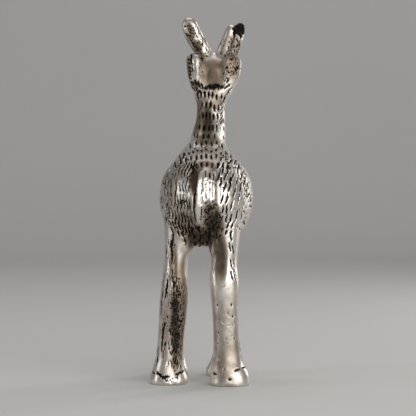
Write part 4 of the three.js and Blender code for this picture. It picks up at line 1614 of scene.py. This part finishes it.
@dataclass
class DeerCasting:
    """The deer, cast in one piece.

    Attributes:
        grid: Size of the grid that joins the limbs, in metres.
        mark_width: Width of a plain mark, in metres.
        mark_depth: Its depth, in metres.
        wave: Height of the casting's waviness, in metres.
        grit: Height of its grit, in metres.
        sole: Height under which the hooves are levelled, in metres.
        finish: The metal's finish.
        torso: The barrel of the body, which the tail lies on.
    """

    grid: float = 0.00135
    mark_width: float = 0.0018
    mark_depth: float = 0.0010
    wave: float = 0.00012
    grit: float = 0.00025
    sole: float = 0.0002
    finish: CastAluminium = field(default_factory=CastAluminium)
    torso: Torso = field(default_factory=Torso)

    def parts(self) -> tuple[BodyPart, ...]:
        """Give the regions of the body."""
        return (self.torso, Tail(self.torso.body), Neck(), Head(), Antlers(), Ears(), Legs())

    def join(self, limbs: Iterable[Limb]) -> bpy.types.Mesh:
        """Join lofts into one closed surface.

        Args:
            limbs: The lofts.

        Returns:
            Their common skin, in even quadrilaterals.
        """
        bm = bmesh.new()
        for limb in limbs:
            mesh = limb.mould()
            bm.from_mesh(mesh)
            bpy.data.meshes.remove(mesh)
        raw = bpy.data.meshes.new("limbs")
        bm.to_mesh(raw)
        bm.free()
        holder = bpy.data.objects.new("limbs", raw)
        bpy.context.scene.collection.objects.link(holder)
        voxels = holder.modifiers.new("voxels", "REMESH")
        voxels.mode = "VOXEL"
        voxels.voxel_size = self.grid
        graph = bpy.context.evaluated_depsgraph_get()
        mesh = bpy.data.meshes.new_from_object(holder.evaluated_get(graph))
        bpy.data.objects.remove(holder)
        bpy.data.meshes.remove(raw)
        return mesh

    def blend(self, relief: Relief) -> None:
        """Soften the seams where limbs meet, as a wax model's are, but not the tail's edges.

        Args:
            relief: The surface.
        """
        x, y, z = relief.places()
        thighs = band(z, 39.5, 6.5) * ramp(np.abs(x - 0.5), 1.6, 1.6)
        shoulders = band(z, 61.5, 3.0) * ramp(y, -12, 9)
        ears = 0.6 * band(z, 79, 2.2) * ramp(-y, -16, 5)
        crown = 0.95 * band(z, 85.5, 5.0) * ramp(-y, -16, 5)
        crown *= np.exp(-(((x - 1.4) / 4.5) ** 4))
        nape = band(z, 64.8, 3.6) * ramp(y, -8, 6) * ramp(-y, -11, 6)
        relief.relax(4, np.ones(len(relief.co)), back=0.52)
        relief.relax(36, np.clip(np.maximum.reduce([thighs, shoulders, ears, crown]), 0, 1))
        relief.relax(90, nape)
        relief.refresh()

    def dress(self, mesh: bpy.types.Mesh, relief: Relief) -> bpy.types.Object:
        """Make the piece from the finished surface.

        Args:
            mesh: The surface's mesh.
            relief: The surface, with its stains.

        Returns:
            The piece.
        """
        for name, values in (("stain", relief.stain), ("tarnish_and_painted_light", relief.tarnish_and_painted_light)):
            attribute = mesh.attributes.new(name, "FLOAT", "POINT")
            attribute.data.foreach_set("value", values.astype(np.float32))
        mesh.polygons.foreach_set("use_smooth", [True] * len(mesh.polygons))
        mesh.materials.clear()
        mesh.materials.append(self.finish.build("cast_aluminium"))
        piece = bpy.data.objects.new("deer_casting", mesh)
        bpy.context.scene.collection.objects.link(piece)
        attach(piece, "root")
        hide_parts("deer")
        return piece

    def build(self) -> bpy.types.Object:
        """Make the dressed casting.

        Returns:
            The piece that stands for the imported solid.
        """
        parts = self.parts()
        mesh = self.join(limb for part in parts for limb in part.limbs())
        relief = Relief(mesh)
        low, high = relief.co.min(axis=0), relief.co.max(axis=0)
        to_origin = -np.array([(low[0] + high[0]) / 2, (low[1] + high[1]) / 2, low[2]])
        self.blend(relief)
        chisel = Chisel(relief, self.mark_width, self.mark_depth)
        for part in parts:
            part.cut(chisel)
        relief.refine(chisel.marks)
        for part in parts:
            part.shape(relief, chisel)
            part.weather(relief)
        relief.refresh()
        cut = relief.carve(chisel.marks)
        relief.roughen(self.wave, self.grit)
        relief.co += to_origin
        relief.co[:, 2] = np.where(relief.co[:, 2] < self.sole, 0, relief.co[:, 2])
        relief.refresh()
        LOG.info("%d of %d marks lie on the surface and are cut", cut, len(chisel.marks))
        return self.dress(mesh, relief)


class Lamp(Enum):
    """The studio's soft lamps: place, width and height in metres, radiance, and colour."""

    KEY = ((1.15, -1.55, 0.52), 1.75, 1.12, 3.0, (1.0, 0.98, 0.95))
    CAMERA_SIDE = ((0.22, -2.3, 0.80), 0.55, 1.5, 4.8, (1.0, 0.98, 0.95))
    LEFT = ((-1.45, -0.35, 0.35), 0.3, 0.95, 3.3, (0.97, 0.98, 1.0))
    TOP = ((0.0, 0.3, 1.9), 1.6, 1.2, 1.3, (1.0, 1.0, 1.0))
    RIM = ((0.85, 0.75, 0.45), 0.3, 0.8, 3.5, (1.0, 0.98, 0.95))

    def hang(self) -> bpy.types.Object:
        """Hang the lamp, turned to the deer.

        Returns:
            The lamp.
        """
        place, width, height, radiance, colour = self.value
        data = bpy.data.lights.new(self.name.lower(), "AREA")
        data.shape = "RECTANGLE"
        data.size, data.size_y = width, height
        data.energy = radiance * math.pi * width * height
        data.color = colour
        lamp = bpy.data.objects.new(self.name.lower(), data)
        lamp.location = place
        heart = Vector((0, 0, 0.15))
        lamp.rotation_euler = (heart - Vector(place)).to_track_quat("-Z", "Y").to_euler()
        bpy.context.scene.collection.objects.link(lamp)
        return lamp


@dataclass(frozen=True)
class PaleFloor:
    """A plain, pale, matt studio sweep.

    Attributes:
        colour: Its colour.
        roughness: Its roughness.
    """

    colour: Point = (0.74, 0.74, 0.735)
    roughness: float = 0.6

    def build(self, name: str) -> bpy.types.Material:
        """Make the material's nodes.

        Args:
            name: The material's name.

        Returns:
            The material.
        """
        material = bpy.data.materials.new(name)
        material.use_nodes = True
        nodes = Nodes(material.node_tree)
        shader = material.node_tree.nodes["Principled BSDF"]
        place = nodes.add("ShaderNodeTexCoord").outputs["Object"]
        cloud = nodes.noise(place, scale=3, detail=3, roughness=0.5)
        darker = tuple(value * 0.95 for value in self.colour)
        nodes.link(nodes.mix(cloud, darker, self.colour), shader.inputs["Base Color"])
        nodes.link(nodes.mix(cloud, self.roughness, self.roughness + 0.1), shader.inputs["Roughness"])
        return material


@dataclass
class Studio:
    """The plain studio: a pale sweep, soft lamps and the camera.

    Attributes:
        lens: Focal length in millimetres.
        camera: The camera's place.
        aim: The place it looks at.
        room: Colour of the room's own dim light.
        reach: Half the sweep's length, in metres.
        wall: How far behind the deer the sweep rises.
        bend: Radius of the sweep's bend.
        finish: The sweep's finish.
    """

    lens: float = 158.1
    camera: Point = (0.0053, -1.5122, 0.1906)
    aim: Point = (0.0053, -0.0122, 0.1413)
    room: Point = (0.21, 0.205, 0.20)
    reach: float = 4.0
    wall: float = 1.6
    bend: float = 0.9
    finish: PaleFloor = field(default_factory=PaleFloor)

    def place_camera(self) -> None:
        """Set the camera at the photograph's viewing angle."""
        data = bpy.data.cameras.new("camera")
        data.lens = self.lens
        data.sensor_width = 36
        data.clip_start, data.clip_end = 0.05, 50
        camera = bpy.data.objects.new("camera", data)
        camera.location = self.camera
        camera.rotation_euler = (Vector(self.aim) - Vector(self.camera)).to_track_quat("-Z", "Y").to_euler()
        bpy.context.scene.collection.objects.link(camera)
        bpy.context.scene.camera = camera

    def set_room(self) -> None:
        """Set the room's own dim light."""
        world = bpy.data.worlds.new("room")
        world.use_nodes = True
        background = world.node_tree.nodes["Background"]
        background.inputs["Color"].default_value = (*self.room, 1)
        background.inputs["Strength"].default_value = 1.0
        bpy.context.scene.world = world

    def lay_sweep(self) -> bpy.types.Object:
        """Lay the floor, and bend it up into a wall behind the deer.

        Returns:
            The sweep.
        """
        bm = bmesh.new()
        bmesh.ops.create_grid(bm, x_segments=2, y_segments=96, size=self.reach)
        for vert in bm.verts:
            run = vert.co.y - self.wall
            turn = min(max(run / self.bend, 0), math.pi / 2)
            beyond = max(run - self.bend * math.pi / 2, 0)
            if run > 0:
                vert.co.y = self.wall + self.bend * math.sin(turn)
                vert.co.z = self.bend * (1 - math.cos(turn)) + beyond
        mesh = bpy.data.meshes.new("sweep")
        bm.to_mesh(mesh)
        bm.free()
        mesh.polygons.foreach_set("use_smooth", [True] * len(mesh.polygons))
        mesh.materials.append(self.finish.build("pale_floor"))
        sweep = bpy.data.objects.new("sweep", mesh)
        bpy.context.scene.collection.objects.link(sweep)
        return sweep

    def build(self) -> bpy.types.Object:
        """Set the studio up.

        Returns:
            The sweep.
        """
        self.place_camera()
        self.set_room()
        for lamp in Lamp:
            lamp.hang()
        bpy.context.scene.view_settings.view_transform = "Standard"
        return self.lay_sweep()


def main() -> None:
    """Build the studio and the deer, and report each piece."""
    logging.basicConfig(level=logging.INFO, format="%(name)s: %(message)s")
    sweep = Studio().build()
    LOG.info("%s: the studio's floor and wall, under %d lamps", sweep.name, len(Lamp))
    deer = DeerCasting().build()
    triangles = sum(len(face.vertices) - 2 for face in deer.data.polygons)
    LOG.info("%s: %d triangles", deer.name, triangles)


if __name__ == "__main__":
    main()
